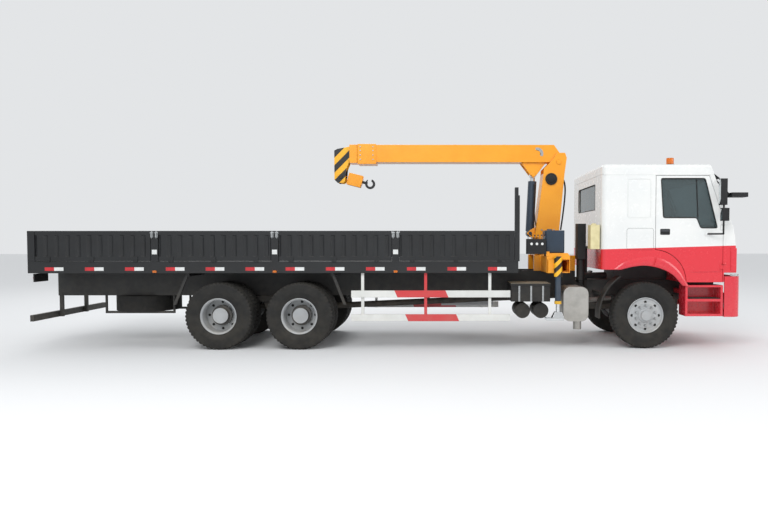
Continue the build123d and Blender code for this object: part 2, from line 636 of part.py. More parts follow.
GATE_HALF = TRUCK_HALF - BOARD_T - 15 - BOARD_GAP
tailgate = block((BED_REAR, BED_REAR + BOARD_T), (-GATE_HALF, GATE_HALF), BOARD_Z)
for y in GATE_HINGE_Y:
    tailgate += block((BED_REAR - HINGE_OUT - HINGE_EYE_R, BED_REAR + 10), (y - 30, y + 30),
                      (BOARD_Z[0], BOARD_Z[0] + 50))
    tailgate += across(BED_REAR - HINGE_OUT, BED_RAIL_Z[1], (y - 30, y + 30), HINGE_EYE_R)
    tailgate += block((BED_REAR - HINGE_OUT - HINGE_EYE_R, BED_REAR - HINGE_OUT + HINGE_EYE_R - 1),
                      (y - 30, y + 30),
                      (BED_RAIL_Z[1], BOARD_Z[0]))
tailgate -= across(BED_REAR - HINGE_OUT, BED_RAIL_Z[1], (-GATE_HALF, GATE_HALF), HINGE_PIN_R / 2 + RUN_GAP)
save("tailgate", tailgate)

# ---------------------------------------------------------------- cab
CAB_HALF = TRUCK_HALF - 5
WINDSCREEN_LOW = (1440, 2050)
WINDSCREEN_HIGH = (1105, ROOF_SEAM)
REAR_WINDOW_HALF = 700
REAR_WINDOW_Z = (2360, 2800)
CORNER_R = 90


def cab_outline(grow=0):
    """Side outline of the cab above its underside, drawn smaller by -grow."""
    g = grow
    return outline((CAB_REAR - g, SILL_REAR - g), (-431, SILL_REAR - g),
                   ((-30, 1404 - g), (595 + g / 2, 1053 + 72 - g)),
                   (1290 + g, DOOR_SILL - g), (1290 + g, NOSE_BOTTOM - g), (NOSE_X + g, NOSE_BOTTOM - g),
                   (NOSE_X + g, 1560), (1470 + g, 1900), (WINDSCREEN_LOW[0] + g, WINDSCREEN_LOW[1]),
                   (WINDSCREEN_HIGH[0] + g, WINDSCREEN_HIGH[1]), (1045 + g, CAB_ROOF + g),
                   (CAB_REAR - g, CAB_ROOF + g))


def cab_body():
    body = slab(cab_outline(), (-CAB_HALF, CAB_HALF))
    body = fillet(body.edges().filter_by(Axis.Z).group_by(Axis.X)[0], CORNER_R)
    top = body.faces().sort_by(Axis.Z)[-1].edges()
    return fillet(top, 60)


def door_outline(gap=0):
    """Door seam, larger than the door by gap all round."""
    g = gap
    return outline((DOOR_X[0] - g, DOOR_TOP + g), (1022 + g, DOOR_TOP + g), (DOOR_X[1] + g, DOOR_BELT),
                   (DOOR_X[1] + g, DOOR_SILL - g), (DOOR_BOTTOM_X - g, DOOR_SILL - g),
                   ((490 - g, 1522 - g), (DOOR_X[0] - g, DOOR_HEM - g)))


def door_window():
    return outline((219, 2860), (955, 2860), (1168, 2035), (890, 2035), (820, 2206), (262, 2206))


def door_hinges(side, fixed):
    """Upper and lower hinge: the door's barrel, or the shell's leaf with its pin."""
    x, y, made = DOOR_X[1], side * (CAB_HALF + DOOR_HINGE_OUT), None
    for z in (1380, 2040):
        pin_r = DOOR_HINGE_OUT / 2
        if fixed:
            leaf = block((x, x + 50), span(side, CAB_HALF, CAB_HALF + 2 * DOOR_HINGE_OUT), (z + 40, z + 70))
            piece = leaf + Pos(x, y, z + 55) * Cylinder(DOOR_HINGE_OUT - 1, 30) + Pos(x, y,
                                                                                      z
                                                                                      + 15) * Cylinder(pin_r, 110)
        else:
            strap = block((x - 45, x), span(side, CAB_HALF, CAB_HALF + DOOR_HINGE_OUT),
                          (z - 39.5, z + 39.5))
            piece = strap + Pos(x, y, z) * Cylinder(DOOR_HINGE_OUT - 1, 79) - Pos(x, y,
                                                                                  z) * Cylinder(pin_r
                                                                                                + RUN_GAP,
                                                                                                80)
        made = piece if made is None else made + piece
    return made


cab = cab_body()
cavity = slab(cab_outline(-CAB_WALL), (-CAB_HALF + CAB_WALL, CAB_HALF - CAB_WALL))
over_tunnel = block((-2000, 1450), (-TUNNEL_HALF, TUNNEL_HALF), (0, TUNNEL_TOP))
tunnel = block((CAB_REAR, 1450), (-TUNNEL_HALF, TUNNEL_HALF), (0, TUNNEL_TOP - CAB_WALL))
side_floor = block((CAB_REAR, 640), (-CAB_HALF, CAB_HALF), (0, CAB_FLOOR + CAB_WALL))
cavity = cavity - over_tunnel - side_floor
tunnel_space = tunnel - slab(outline((1290, 0), (1600, 0), (1600, 3000), (1290, 3000)), (-2000, 2000))
tunnel_space -= block((CAB_REAR, CAB_REAR + CAB_WALL), (-2000, 2000), (0, 3000))
footwell_wall = both(lambda side: block((640 - CAB_WALL, 1290 + CAB_WALL),
                                        span(side, TUNNEL_HALF, TUNNEL_HALF + CAB_WALL),
                                        (DOOR_SILL, TUNNEL_TOP)))
shell = cab - cavity - tunnel_space
shell += footwell_wall & cab
wheel_room = block((-420, 600), (-CAB_HALF + CAB_WALL, CAB_HALF - CAB_WALL), (0, CAB_FLOOR))
shell -= wheel_room & slab(outline((-420, 0), (-420, CAB_FLOOR), (590, CAB_FLOOR), (590, 0)), (-2000, 2000))

roof_zone = block((-2000, 2000), (-2000, 2000), (ROOF_SEAM, 4000))
NOSE_SEAM_Y = 1130
panel_zone = block((NOSE_X - 150, 2000), (-NOSE_SEAM_Y, NOSE_SEAM_Y), (NOSE_BOTTOM - 10, 1990))

front_panel = shell & panel_zone
shell -= panel_zone
front_panel &= block((NOSE_X - 150, 2000), (-NOSE_SEAM_Y, NOSE_SEAM_Y), (NOSE_BOTTOM + 2, 1988))
roof = shell & roof_zone
shell -= roof_zone

slope = atan2(WINDSCREEN_HIGH[1] - WINDSCREEN_LOW[1], WINDSCREEN_LOW[0] - WINDSCREEN_HIGH[0])
rise = WINDSCREEN_HIGH[1] - WINDSCREEN_LOW[1]
run = WINDSCREEN_LOW[0] - WINDSCREEN_HIGH[0]


def on_screen(z, inward):
    """Point on the windscreen's slope at a height, moved inward square to it."""
    x = WINDSCREEN_LOW[0] - (z - WINDSCREEN_LOW[1]) * run / rise
    return (x - inward * sin(slope), z - inward * cos(slope))


SCREEN_Z = (2110, 2860)
SCREEN_HALF = 1090
opening = outline(on_screen(SCREEN_Z[0], -60), on_screen(SCREEN_Z[1], -60), on_screen(SCREEN_Z[1], 120),
                  on_screen(SCREEN_Z[0], 120))
shell -= slab(opening, (-SCREEN_HALF, SCREEN_HALF))
shell -= block((CAB_REAR - 10, CAB_REAR + CAB_WALL + 10), (-REAR_WINDOW_HALF, REAR_WINDOW_HALF),
               REAR_WINDOW_Z)
for side in (-1, 1):
    shell -= slab(door_outline(PANEL_GAP), span(side, CAB_HALF - CAB_WALL - PANEL_GAP, CAB_HALF + 1))
    shell += door_hinges(side, fixed=True)
for side in (-1, 1):
    x, z = TILT_PIVOT
    y = span(side, TILT_BRACKET_Y[0] - 45, TILT_BRACKET_Y[0] - PANEL_GAP)
    ear = slab(outline((1292, NOSE_BOTTOM), (1292, z - TILT_EYE_R), (x, z - TILT_EYE_R),
                       (x, z + TILT_EYE_R), (1345, NOSE_BOTTOM)), y)
    ear = ear + across(x, z, y, TILT_EYE_R)
    shell += ear - across(x, z, span(side, 0, 1000), TILT_EYE_R / 2 + RUN_GAP)
save("cab_shell", shell)

BEACON = (470, -900)
beacon = Pos(*BEACON, CAB_ROOF + 15) * Cylinder(75, 30) + Pos(*BEACON, CAB_ROOF + 82) * Cylinder(62, 106)
visor = slab(outline((1040, 3060), (1066, 3060), (1295, 2885), (1275, 2870)), (-1000, 1000))
visor -= slab(cab_outline(), (-CAB_HALF, CAB_HALF))
save("cab_front_panel", front_panel)

glass = slab(outline(on_screen(SCREEN_Z[0], 20), on_screen(SCREEN_Z[1], 20),
                     on_screen(SCREEN_Z[1], 20 + GLASS_T),
                     on_screen(SCREEN_Z[0], 20 + GLASS_T)), (-SCREEN_HALF, SCREEN_HALF))
glass += block((CAB_REAR + 20, CAB_REAR + 20 + GLASS_T), (-REAR_WINDOW_HALF, REAR_WINDOW_HALF),
               REAR_WINDOW_Z)
save("cab_glass", glass)

# ---------------------------------------------------------------- doors with their mirrors
def mirror_set(side):
    """Main mirror, round kerb mirror and the bowed tube that carries them on the door."""
    y = span(side, *MIRROR_Y)
    middle = side * sum(MIRROR_Y) / 2
    main = block((1135, 1245), y, (2410, 2842))
    kerb = block((1165, 1280), y, (2149, 2361))
    stem_x = 1205
    stem = rod((stem_x, middle, 1935), (stem_x, middle, 2149), 14) + rod((stem_x, middle, 2361),
                                                                         (stem_x, middle, 2410), 14)
    foot = rod((stem_x, middle, 1935), (1000, side * (CAB_HALF + 14), 1935), 14) + Pos(stem_x, middle,
                                                                                       1935) * Sphere(14)
    plate = block((960, 1040), span(side, CAB_HALF, CAB_HALF + 16), (1905, 1965))
    return main + kerb + stem + foot + plate


def door(side):
    """Door as thick as the cab's wall, with its window cut."""
    y = span(side, CAB_HALF - CAB_WALL, CAB_HALF)
    panel = slab(door_outline(), y) - slab(door_window(), span(side, 0, 2000))
    return panel + mirror_set(side) + door_hinges(side, fixed=False)


for side_name, side in SIDES.items():
    save(f"door_{side_name}", door(side))
    pane = span(side, CAB_HALF - CAB_WALL / 2 - GLASS_T / 2, CAB_HALF - CAB_WALL / 2 + GLASS_T / 2)
    save(f"door_glass_{side_name}", slab(door_window(), pane))

# ---------------------------------------------------------------- cab interior
DRIVER_Y = 640
FLOOR_TOP = CAB_FLOOR + CAB_WALL


def seat(y):
    """Cushion, back and head rest on a plain box base."""
    base = block((150, 560), (y - 170, y + 170), (FLOOR_TOP, 1640))
    cushion = block((100, 620), (y - 205, y + 205), (1640, 1760))
    back = slab(outline((80, 1690), (190, 1700), (60, 2330), (-40, 2320)), (y - 205, y + 205))
    head = slab(outline((45, 2335), (-35, 2325), (-62, 2520), (12, 2530)), (y - 110, y + 110))
    stem = slab(outline((28, 2300), (2, 2300), (-6, 2350), (20, 2350)), (y - 60, y + 60))
    return base + cushion + back + head + stem


bunk = block((CAB_REAR + CAB_WALL + 5, -180), (-1050, 1050), (1800, 1930))
for y in (-960, 960):
    bunk += block((CAB_REAR + CAB_WALL + 5, -180), (y - 40, y + 40), (FLOOR_TOP, 1800))
save("seats", seat(-DRIVER_Y) + seat(DRIVER_Y) + bunk)

dash = slab(outline((1150, 1800), (1400, 1700), (1400, 1960), (1370, 2040), (1120, 2030), (1060, 1930)),
            (-1140, 1140))
dash += block((1200, 1400), (-300, 300), (TUNNEL_TOP, 1760))
WHEEL_CENTRE = (900, DRIVER_Y, 2010)
dash += rod((1220, DRIVER_Y, 1720), WHEEL_CENTRE, 32)
rake = Vector(1220 - 900, 0, 1720 - 2010)
ring_plane = Plane(origin=WHEEL_CENTRE, z_dir=rake)
dash += ring_plane * Torus(225, 14) + ring_plane * Cylinder(50, 40) + ring_plane * Box(440, 30, 14)
save("dashboard", dash)

# visor above the windscreen and the look-down mirror on its arm belong to the roof's node
stay = block((1046, 1100), (-760, 760), (2990, 3012)) - slab(cab_outline(), (-CAB_HALF, CAB_HALF))
arm_root = (1090, -1010, 2985)
arm = rod(arm_root, (1460, -1010, 2600), 12) + block((1451, FRONT_REACH), (-1120, -900), (2560, 2636))
save("cab_roof", roof + beacon + visor + stay + arm)

# ---------------------------------------------------------------- crane pedestal and outrigger housing
BASE_HALF = 330
SLEW_RING_R = 235
PEDESTAL_X = (SLEW_X - 235, SLEW_X + 235)
TANK_X = (-1676, -1342)
LEVER_X = (-2007, -1680)

housing_end = outline((HOUSING_X[0], HOUSING_Z[0]), (HOUSING_X[1], HOUSING_Z[0]),
                      (HOUSING_X[1], HOUSING_Z[1]),
                      (HOUSING_X[1] - 34, HOUSING_Z[1] + 53), (HOUSING_X[0] + 104, HOUSING_Z[1] + 53),
                      (HOUSING_X[0], HOUSING_Z[1]))
WELL_X = (HOUSING_X[0] + HOUSING_WALL, HOUSING_X[1] - HOUSING_WALL)
WELL_Z = (HOUSING_Z[0] + HOUSING_WALL, HOUSING_Z[0] + HOUSING_WALL + BEAM_H + 2 * MOVE_GAP)
DIVIDER_X = sum(WELL_X) / 2
base = slab(housing_end, (-HOUSING_HALF, HOUSING_HALF)) - block(WELL_X,
                                                                (-HOUSING_HALF - 1, HOUSING_HALF + 1),
                                                                WELL_Z)
pedestal = loft([Plane.XY.offset(HOUSING_Z[1] + 53) * Pos(SLEW_X, 0) * Rectangle(470, 2 * BASE_HALF),
                 Plane.XY.offset(PEDESTAL_TOP - 60) * Pos(SLEW_X, 0) * Rectangle(440, 440)])
base += pedestal + Pos(SLEW_X, 0, PEDESTAL_TOP - 30) * Cylinder(SLEW_RING_R, 60)
base += block(PEDESTAL_X, (-BASE_HALF, BASE_HALF), (HOUSING_Z[1], HOUSING_Z[1] + 54))
for side in (-1, 1):
    for x in ((-1790, HOUSING_X[0]), (HOUSING_X[1], SUBFRAME_FRONT)):
        base += block(x, span(side, RAIL_W / 2 - SUBFRAME_W, RAIL_W / 2), (SUBFRAME_TOP, HOUSING_Z[1]))
levers = block(LEVER_X, (-1150, -1010), (1598, 1854)) + block((LEVER_X[1], LEVER_X[1] + 60),
                                                              (-1100, -1060), (1560, 1640))
levers += block((LEVER_X[1] - 20, HOUSING_X[0] + 160), (-1080, -1020), (1560, 1612))
for x in ((WELL_X[0] + 20, DIVIDER_X - 20), (DIVIDER_X + 20, WELL_X[1] - 20)):
    for y in ((-HOUSING_HALF, -HOUSING_HALF + 120), (HOUSING_HALF - 120, HOUSING_HALF)):
        base += block(x, y, (WELL_Z[0], WELL_Z[0] + MOVE_GAP - RUN_GAP))
save("crane_base", base + levers)

tank = block(TANK_X, (-990, -640), (HOUSING_Z[1] + 53 + 6, 2000))
tank = fillet(tank.edges().filter_by(Axis.Z), 40) + Pos(-1580, -820, 2000) * Cylinder(45, 50)
for y in (-950, -700):
    tank += block((TANK_X[0] + 130, TANK_X[1] - 20), (y, y + 30), (HOUSING_Z[1] + 53, HOUSING_Z[1] + 60))
save("hydraulic_tank", tank)

# ---------------------------------------------------------------- outriggers
BEAM_W = (WELL_X[1] - WELL_X[0]) / 2 - 1.5 * MOVE_GAP


def outrigger(side):
    """Box beam with its jack's sleeve and barrel on the outer end."""
    low_x = WELL_X[0] + MOVE_GAP if side < 0 else DIVIDER_X + MOVE_GAP / 2
    x = (low_x, low_x + BEAM_W)
    z = (WELL_Z[0] + MOVE_GAP, WELL_Z[0] + MOVE_GAP + BEAM_H)
    beam = block(x, span(side, HOUSING_HALF - BEAM_LENGTH, HOUSING_HALF + 6), z)
    beam -= block((x[0] + 10, x[1] - 10), span(side, HOUSING_HALF - BEAM_LENGTH - 1, HOUSING_HALF - 60),
                  (z[0] + 10, z[1] - 10))
    head_x = (min(x[0], JACK_X - 60), max(x[1], JACK_X + 60))
    beam += block(head_x, span(side, HOUSING_HALF + MOVE_GAP, HOUSING_HALF + MOVE_GAP + 30),
                  (z[0] - 20, z[1] + 10))
    jack = Plane.XY * Pos(JACK_X, side * JACK_Y, (1219 + 1559) / 2) * Cylinder(JACK_SLEEVE_R, 1559 - 1219)
    jack += Pos(JACK_X, side * JACK_Y, (JACK_BARREL_END + 1230) / 2) * Cylinder(JACK_BARREL_R,
                                                                                1230 - JACK_BARREL_END)
    jack += Pos(JACK_X, side * JACK_Y, JACK_BARREL_END + 25) * Cylinder(JACK_BARREL_R + 9, 50)
    beam = beam + jack
    return beam - Pos(JACK_X, side * JACK_Y, (JACK_BARREL_END + 1530) / 2 - 5) * Cylinder(JACK_ROD_R
                                                                                          + RUN_GAP,
                                                                                          1530
                                                                                          - JACK_BARREL_END + 10)


def jack(side):
    """Jack rod and its square foot."""
    foot = block(FOOT_X, span(side, JACK_Y - FOOT_HALF_W, JACK_Y + 90), (FOOT_Z[0], FOOT_Z[0] + 40))
    cone = loft([Plane.XY.offset(FOOT_Z[0] + 40) * Pos(JACK_X - 5, side * JACK_Y) * Rectangle(200, 150),
                 Plane.XY.offset(FOOT_Z[1]) * Pos(JACK_X, side * JACK_Y) * Rectangle(110, 100)])
    rod_part = Pos(JACK_X, side * JACK_Y, (FOOT_Z[1] + 1510) / 2) * Cylinder(JACK_ROD_R, 1510 - FOOT_Z[1])
    return foot + cone + rod_part


for side_name, side in SIDES.items():
    save(f"outrigger_beam_{side_name}", outrigger(side))
    save(f"jack_{side_name}", jack(side))

# ---------------------------------------------------------------- column
BOOM_HALF = BOOM_W / 2
FORK_Y = (BOOM_HALF + MOVE_GAP, COLUMN_HALF)
LUFF_EYE_HALF = 80
LUFF_LUG_Y = (LUFF_EYE_HALF + MOVE_GAP, LUFF_EYE_HALF + MOVE_GAP + EAR_T)


def column_face(top):
    """Side outline of the leaning column up to a height."""
    share = (top - 1910) / (3110 - 1910)
    return outline((-1731, PEDESTAL_TOP), (-1299, PEDESTAL_TOP), (-1299, 2020), (-1299 + 97 * share, top),
                   (-1731 + 150 * share, top), (-1731, 1960))


column = slab(column_face(COLUMN_TOP_Z), (-COLUMN_HALF, COLUMN_HALF))
column += Pos(SLEW_X, 0, PEDESTAL_TOP + 15) * Cylinder(SLEW_RING_R, 30)
fork = outline((-1590, COLUMN_TOP_Z - 1), (-1206, COLUMN_TOP_Z - 1), (-1168, 3330), (-1200, 3420),
               (-1340, 3420), (-1420, 3300), (-1585, 3130))
px, pz = LUFF_PIVOT
bx, bz = LUFF_BASE
for side in (-1, 1):
    column += slab(fork, span(side, *FORK_Y)) - across(px, pz, (-500, 500), LUFF_PIVOT_R + RUN_GAP)
    lug = outline((-1731, bz + 110), (bx, bz + 66), (bx - 66, bz), (bx, bz - 66), (-1731, bz - 77))
    column += slab(lug, span(side, *LUFF_LUG_Y))
column -= across(bx, bz, (-500, 500), 30 + RUN_GAP)
save("column", column)

# luffing cylinder
barrel = across(bx, bz, (-LUFF_EYE_HALF, LUFF_EYE_HALF), 66) + across(bx, bz,
                                                                      (-LUFF_LUG_Y[1] - 8,
                                                                       LUFF_LUG_Y[1] + 8), 30)
ex, ez = LUFF_EAR
reach = hypot(ex - bx, ez - bz)
ux, uz = (ex - bx) / reach, (ez - bz) / reach
barrel += rod((bx + 40 * ux, 0, bz + 40 * uz), (bx + BARREL_LENGTH * ux, 0, bz + BARREL_LENGTH * uz),
              BARREL_R)
barrel -= rod((bx + 120 * ux, 0, bz + 120 * uz), (bx + 1000 * ux, 0, bz + 1000 * uz), ROD_R + RUN_GAP)
save("luff_barrel", barrel)
luff_rod = rod((bx + 140 * ux, 0, bz + 140 * uz), (ex, 0, ez), ROD_R) + across(ex, ez,
                                                                               (-LUFF_EYE_HALF,
                                                                                LUFF_EYE_HALF), ROD_EYE_R)
save("luff_rod", luff_rod)

# ---------------------------------------------------------------- boom sections
boom_top = BOOM_BOTTOM + BOOM_H


def box_tube(start, end, inset, wall):
    """Square tube along the boom, inset from the outer section on every side."""
    half, low, high = BOOM_HALF - inset, BOOM_BOTTOM + inset, boom_top - inset
    tube = block((start, end), (-half, half), (low, high))
    return tube - block((min(start, end) - 1, max(start, end) + 1), (-half + wall, half - wall),
                        (low + wall, high - wall))


step_in = BOOM_WALL + MOVE_GAP


def slide_pads(x, inset):
    """Wear pads inside a section's mouth, under and over the next section."""
    half = BOOM_HALF - inset - 60
    low, high = BOOM_BOTTOM + inset + BOOM_WALL, boom_top - inset - BOOM_WALL
    pads = block((x, x + 120), (-half, half), (low, low + MOVE_GAP - RUN_GAP))
    return pads + block((x, x + 120), (-half, half), (high - MOVE_GAP + RUN_GAP, high))


boom = box_tube(BOOM_END, BOOM_TAIL, 0, BOOM_WALL)
boom += block((BOOM_END, COLLAR_X), (-BOOM_HALF - 14, BOOM_HALF + 14),
              (BOOM_BOTTOM - COLLAR_GROW, boom_top + 14))
boom -= block((BOOM_END - 1, COLLAR_X + 1), (-BOOM_HALF + BOOM_WALL, BOOM_HALF - BOOM_WALL),
              (BOOM_BOTTOM + BOOM_WALL, boom_top - BOOM_WALL))
boom += block((BOOM_TAIL - BOOM_WALL, BOOM_TAIL), (-BOOM_HALF, BOOM_HALF), (BOOM_BOTTOM, boom_top))
eye_face = outline((BOOM_TAIL - 60, BOOM_BOTTOM + 2), (BOOM_TAIL - 60, boom_top), (BOOM_TAIL, boom_top),
                   (px + 60, pz + 110), (px + 62, pz),
                   (px, pz - 62), (BOOM_TAIL - 60, pz - 50))
for side in (-1, 1):
    boom += slab(eye_face, span(side, BOOM_HALF - 40, BOOM_HALF))
    ear = outline((ex - 230, BOOM_BOTTOM), (ex + 230, BOOM_BOTTOM), (ex + 66, ez), (ex, ez - 66),
                  (ex - 66, ez))
    boom += slab(ear, span(side, *LUFF_LUG_Y)) + across(ex, ez,
                                                        span(side, LUFF_LUG_Y[0], LUFF_LUG_Y[1] + 12), 40)
boom += across(px, pz, (-COLUMN_HALF - 10, COLUMN_HALF + 10), LUFF_PIVOT_R)
boom += across(-1600, BOOM_BOTTOM + 150, (-BOOM_HALF + BOOM_WALL - 1, BOOM_HALF - BOOM_WALL + 1), 90)
boom += slide_pads(BOOM_END + 60, 0)
save("boom", boom)

mid = box_tube(MID_END, MID_TAIL, step_in, BOOM_WALL)
mid_collar = block((MID_END, BOOM_END - MOVE_GAP), (-BOOM_HALF + 4, BOOM_HALF - 4),
                   (BOOM_BOTTOM - 12, boom_top + 4))
mid_collar -= block((MID_END - 1, BOOM_END), (-BOOM_HALF + step_in + BOOM_WALL,
                                              BOOM_HALF - step_in - BOOM_WALL),
                    (BOOM_BOTTOM + step_in + BOOM_WALL, boom_top - step_in - BOOM_WALL))
save("boom_mid", mid + mid_collar + slide_pads(BOOM_END + 60, step_in))

tip = box_tube(TIP_END, TIP_TAIL, 2 * step_in, BOOM_WALL)
head = outline((MID_END - MOVE_GAP, boom_top - 30), (MID_END - MOVE_GAP, BOOM_BOTTOM + 20),
               (TIP_END - 20, BOOM_BOTTOM - 120), (TIP_END - 40, HEAD_Z[0] + 30),
               (TIP_END - 80, HEAD_Z[0]), (HEAD_END + 60, HEAD_Z[0]), (HEAD_END, HEAD_Z[0] + 60),
               (HEAD_END, HEAD_Z[1] - 30), (HEAD_END + 60, HEAD_Z[1]))
hx, hz = HEAD_PIN
for side in (-1, 1):
    tip += slab(head, span(side, 105, 125))
    tip += across(hx, hz, span(side, HOOK_PIN_HALF + RUN_GAP, 140), 40)
tip += block((MID_END - MOVE_GAP - 30, MID_END - MOVE_GAP), (-125, 125), (BOOM_BOTTOM + 40, boom_top - 32))
tip -= block((TIP_END - 5, MID_END), (-90, 90), (BOOM_BOTTOM + 60, boom_top - 60))
tip += across(-5330, 3420, (-125, 125), 45) + across(-5330, 3420, (-40, 40), SHEAVE_R - 30)
save("boom_tip", tip)


# ---------------------------------------------------------------- hook block
def hook_point(along, off):
    """Point at a distance along the stowed hook block's axis and square to it."""
    a = radians(HOOK_TILT)
    return (hx + along * cos(a) - off * sin(a), hz - along * sin(a) - off * cos(a))


def hook_box(along, off, y):
    corners = [hook_point(along[0], off[0]), hook_point(along[1], off[0]), hook_point(along[1], off[1]),
               hook_point(along[0], off[1])]
    return slab(outline(*corners), y)


HOOK_CENTRE = 545
hook = across(hx, hz, (-HOOK_PIN_HALF, HOOK_PIN_HALF), 60)
for off in (-32, 32):
    hook += hook_box((0, 150), (off - 8, off + 8), (-8, 8))
for side in (-1, 1):
    hook += hook_box((130, 390), (-110, 110), span(side, 55, 75))
hook += hook_box((150, 370), (-45, 45), (-56, 56)) + hook_box((330, 400), (-60, 60), (-75, 75))
hook += rod((*[hook_point(390, 0)[0]], 0, hook_point(390, 0)[1]),
            (hook_point(470, 0)[0], 0, hook_point(470, 0)[1]), 24)
cx, cz = hook_point(HOOK_CENTRE, 0)
bowl = across(cx, cz, (-22, 22), 92) - across(cx, cz, (-23, 23), 50)
bowl -= hook_box((HOOK_CENTRE - 60, HOOK_CENTRE + 10), (-140, -20), (-30, 30))
save("hook_block", hook + bowl)
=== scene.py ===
# %% [markdown]
# # A truck-mounted crane, finished in Blender
# This file adds what the eye reads first: paint, rubber, glass, rounded sheet-metal edges, tyre
# treads, pressed boards, hoses and lamps.

# %% Load the frame and keep its box
import json
import math

import bmesh
import bpy
import numpy as np
from mathutils import Matrix, Vector


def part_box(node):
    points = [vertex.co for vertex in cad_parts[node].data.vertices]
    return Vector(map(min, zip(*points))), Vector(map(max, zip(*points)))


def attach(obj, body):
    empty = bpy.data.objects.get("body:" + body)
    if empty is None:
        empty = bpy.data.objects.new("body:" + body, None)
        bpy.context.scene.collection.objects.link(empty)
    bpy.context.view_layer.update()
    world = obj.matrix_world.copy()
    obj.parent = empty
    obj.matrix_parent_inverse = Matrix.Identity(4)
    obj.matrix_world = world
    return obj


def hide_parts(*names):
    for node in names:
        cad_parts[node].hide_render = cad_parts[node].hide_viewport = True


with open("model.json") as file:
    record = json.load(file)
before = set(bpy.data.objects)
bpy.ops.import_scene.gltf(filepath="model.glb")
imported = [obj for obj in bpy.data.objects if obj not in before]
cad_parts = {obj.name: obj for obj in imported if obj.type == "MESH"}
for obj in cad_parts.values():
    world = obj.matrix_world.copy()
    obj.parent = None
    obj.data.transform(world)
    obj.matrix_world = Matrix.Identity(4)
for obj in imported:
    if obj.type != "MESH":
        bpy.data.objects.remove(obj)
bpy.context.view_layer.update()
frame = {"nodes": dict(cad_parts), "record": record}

# %% [markdown]
# Places come from the frame. The front axle is the origin of most measures on a truck, so the
# helper below turns "metres ahead of the front axle" into the frame's own X.

# %% Reference places
AXLE = sum(p[0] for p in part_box("rim_front_right")) / 2
GROUND = 0.0
MIDDLE_X = sum(p[0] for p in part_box("rims_middle_right")) / 2
REAR_X = sum(p[0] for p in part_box("rims_rear_right")) / 2
HUB_Z = sum(p[2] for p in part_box("rim_front_right")) / 2
RIGHT, LEFT = -1, 1
SIDE_NAMES = {RIGHT: "right", LEFT: "left"}


def at(x, y, z):
    """Point given ahead of the front axle, to the left and above the ground."""
    return np.array([AXLE + x, y, z], dtype=float)


print("front axle at", round(AXLE, 4), "wheelbase", round(AXLE - MIDDLE_X, 3))

# %% [markdown]
# The camera stands twelve metres to the truck's right, a little under eye height and nearly level.
# A lens shift keeps the whole machine in view without turning the camera.

# %% Camera
CAMERA_AT = at(-3.430, -12.291, 1.824)
YAW, PITCH, ROLL = math.radians(-0.37), math.radians(-2.10), math.radians(0.03)
FOCAL_WIDTHS = 0.8634          # focal length in picture widths
SHIFT = (-0.0816, 0.0085)
SENSOR = 36.0

camera_data = bpy.data.cameras.new("camera")
camera = bpy.data.objects.new("camera", camera_data)
bpy.context.scene.collection.objects.link(camera)
camera_data.sensor_width = SENSOR
camera_data.lens = SENSOR * FOCAL_WIDTHS
camera_data.shift_x, camera_data.shift_y = SHIFT
camera_data.clip_end = 200
level = Matrix.Rotation(YAW, 4, "Z") @ Matrix.Rotation(math.radians(90) + PITCH, 4, "X")
camera.matrix_world = Matrix.Translation(CAMERA_AT) @ level @ Matrix.Rotation(-ROLL, 4, "Z")
bpy.context.scene.camera = camera
print("camera at", CAMERA_AT.round(3))

# %% [markdown]
# A pale floor and three large soft lights stand in for an overcast yard: a broad key from the
# camera's side and above, a fill from the front of the truck and a rim from behind.

# %% Colour and node helpers
def linear(hex_colour, alpha=1.0):
    """sRGB hex text to a linear colour, by the sRGB curve's two pieces."""
    parts = [int(hex_colour[i:i + 2], 16) / 255 for i in (1, 3, 5)]
    parts = [c / 12.92 if c <= 0.04045 else ((c + 0.055) / 1.055) ** 2.4 for c in parts]
    return (*parts, alpha)


def node(tree, kind, *values, out=0, **settings):
    """Adds one shader node and returns the output asked for.

    kind is the node's class name after "ShaderNode", and a word after a colon is its operation.
    Values fill the inputs in order, or by name from a dictionary: a socket is linked, a number set.
    """
    kind, _, operation = kind.partition(":")
    made = tree.nodes.new("ShaderNode" + kind)
    if operation:
        made.operation = operation
    for key, setting in settings.items():
        setattr(made, key, setting)
    for place, value in enumerate(values):
        for key, content in (value.items() if isinstance(value, dict) else [(place, value)]):
            if isinstance(content, bpy.types.NodeSocket):
                tree.links.new(content, made.inputs[key])
            else:
                made.inputs[key].default_value = content
    return made.outputs[out]


# %% Floor and lights
def stage_light(name, place, target, size, power):
    data = bpy.data.lights.new(name, "AREA")
    data.shape, data.size, data.energy = "DISK", size, power
    lamp = bpy.data.objects.new(name, data)
    bpy.context.scene.collection.objects.link(lamp)
    lamp.location = place
    lamp.rotation_euler = (Vector(target) - Vector(place)).to_track_quat("-Z", "Y").to_euler()


bpy.ops.mesh.primitive_plane_add(size=160, location=(0, 0, GROUND - 0.002))
floor = bpy.context.object
floor.name = "studio_floor"
floor_finish = bpy.data.materials.new("pale_studio_floor")
floor_finish.use_nodes = True
floor_shader = floor_finish.node_tree.nodes["Principled BSDF"]
floor_shader.inputs["Base Color"].default_value = linear("#E6E7E8")
floor_shader.inputs["Roughness"].default_value = 0.85
floor.data.materials.append(floor_finish)
world = bpy.data.worlds.new("soft_sky")
world.use_nodes = True
world.node_tree.nodes["Background"].inputs["Color"].default_value = linear("#F4F6F8")
world.node_tree.nodes["Background"].inputs["Strength"].default_value = 0.85
bpy.context.scene.world = world
stage_light("key", (-3.0, -14.0, 12.0), (0, 0, 1.5), 9.0, 1350)
stage_light("fill", (14.0, -8.0, 7.0), (2, 0, 1.5), 7.0, 450)
stage_light("rim", (-4.0, 13.0, 11.0), (0, 0, 1.5), 9.0, 600)
bpy.context.scene.view_settings.view_transform = "Standard"
print("stage set")

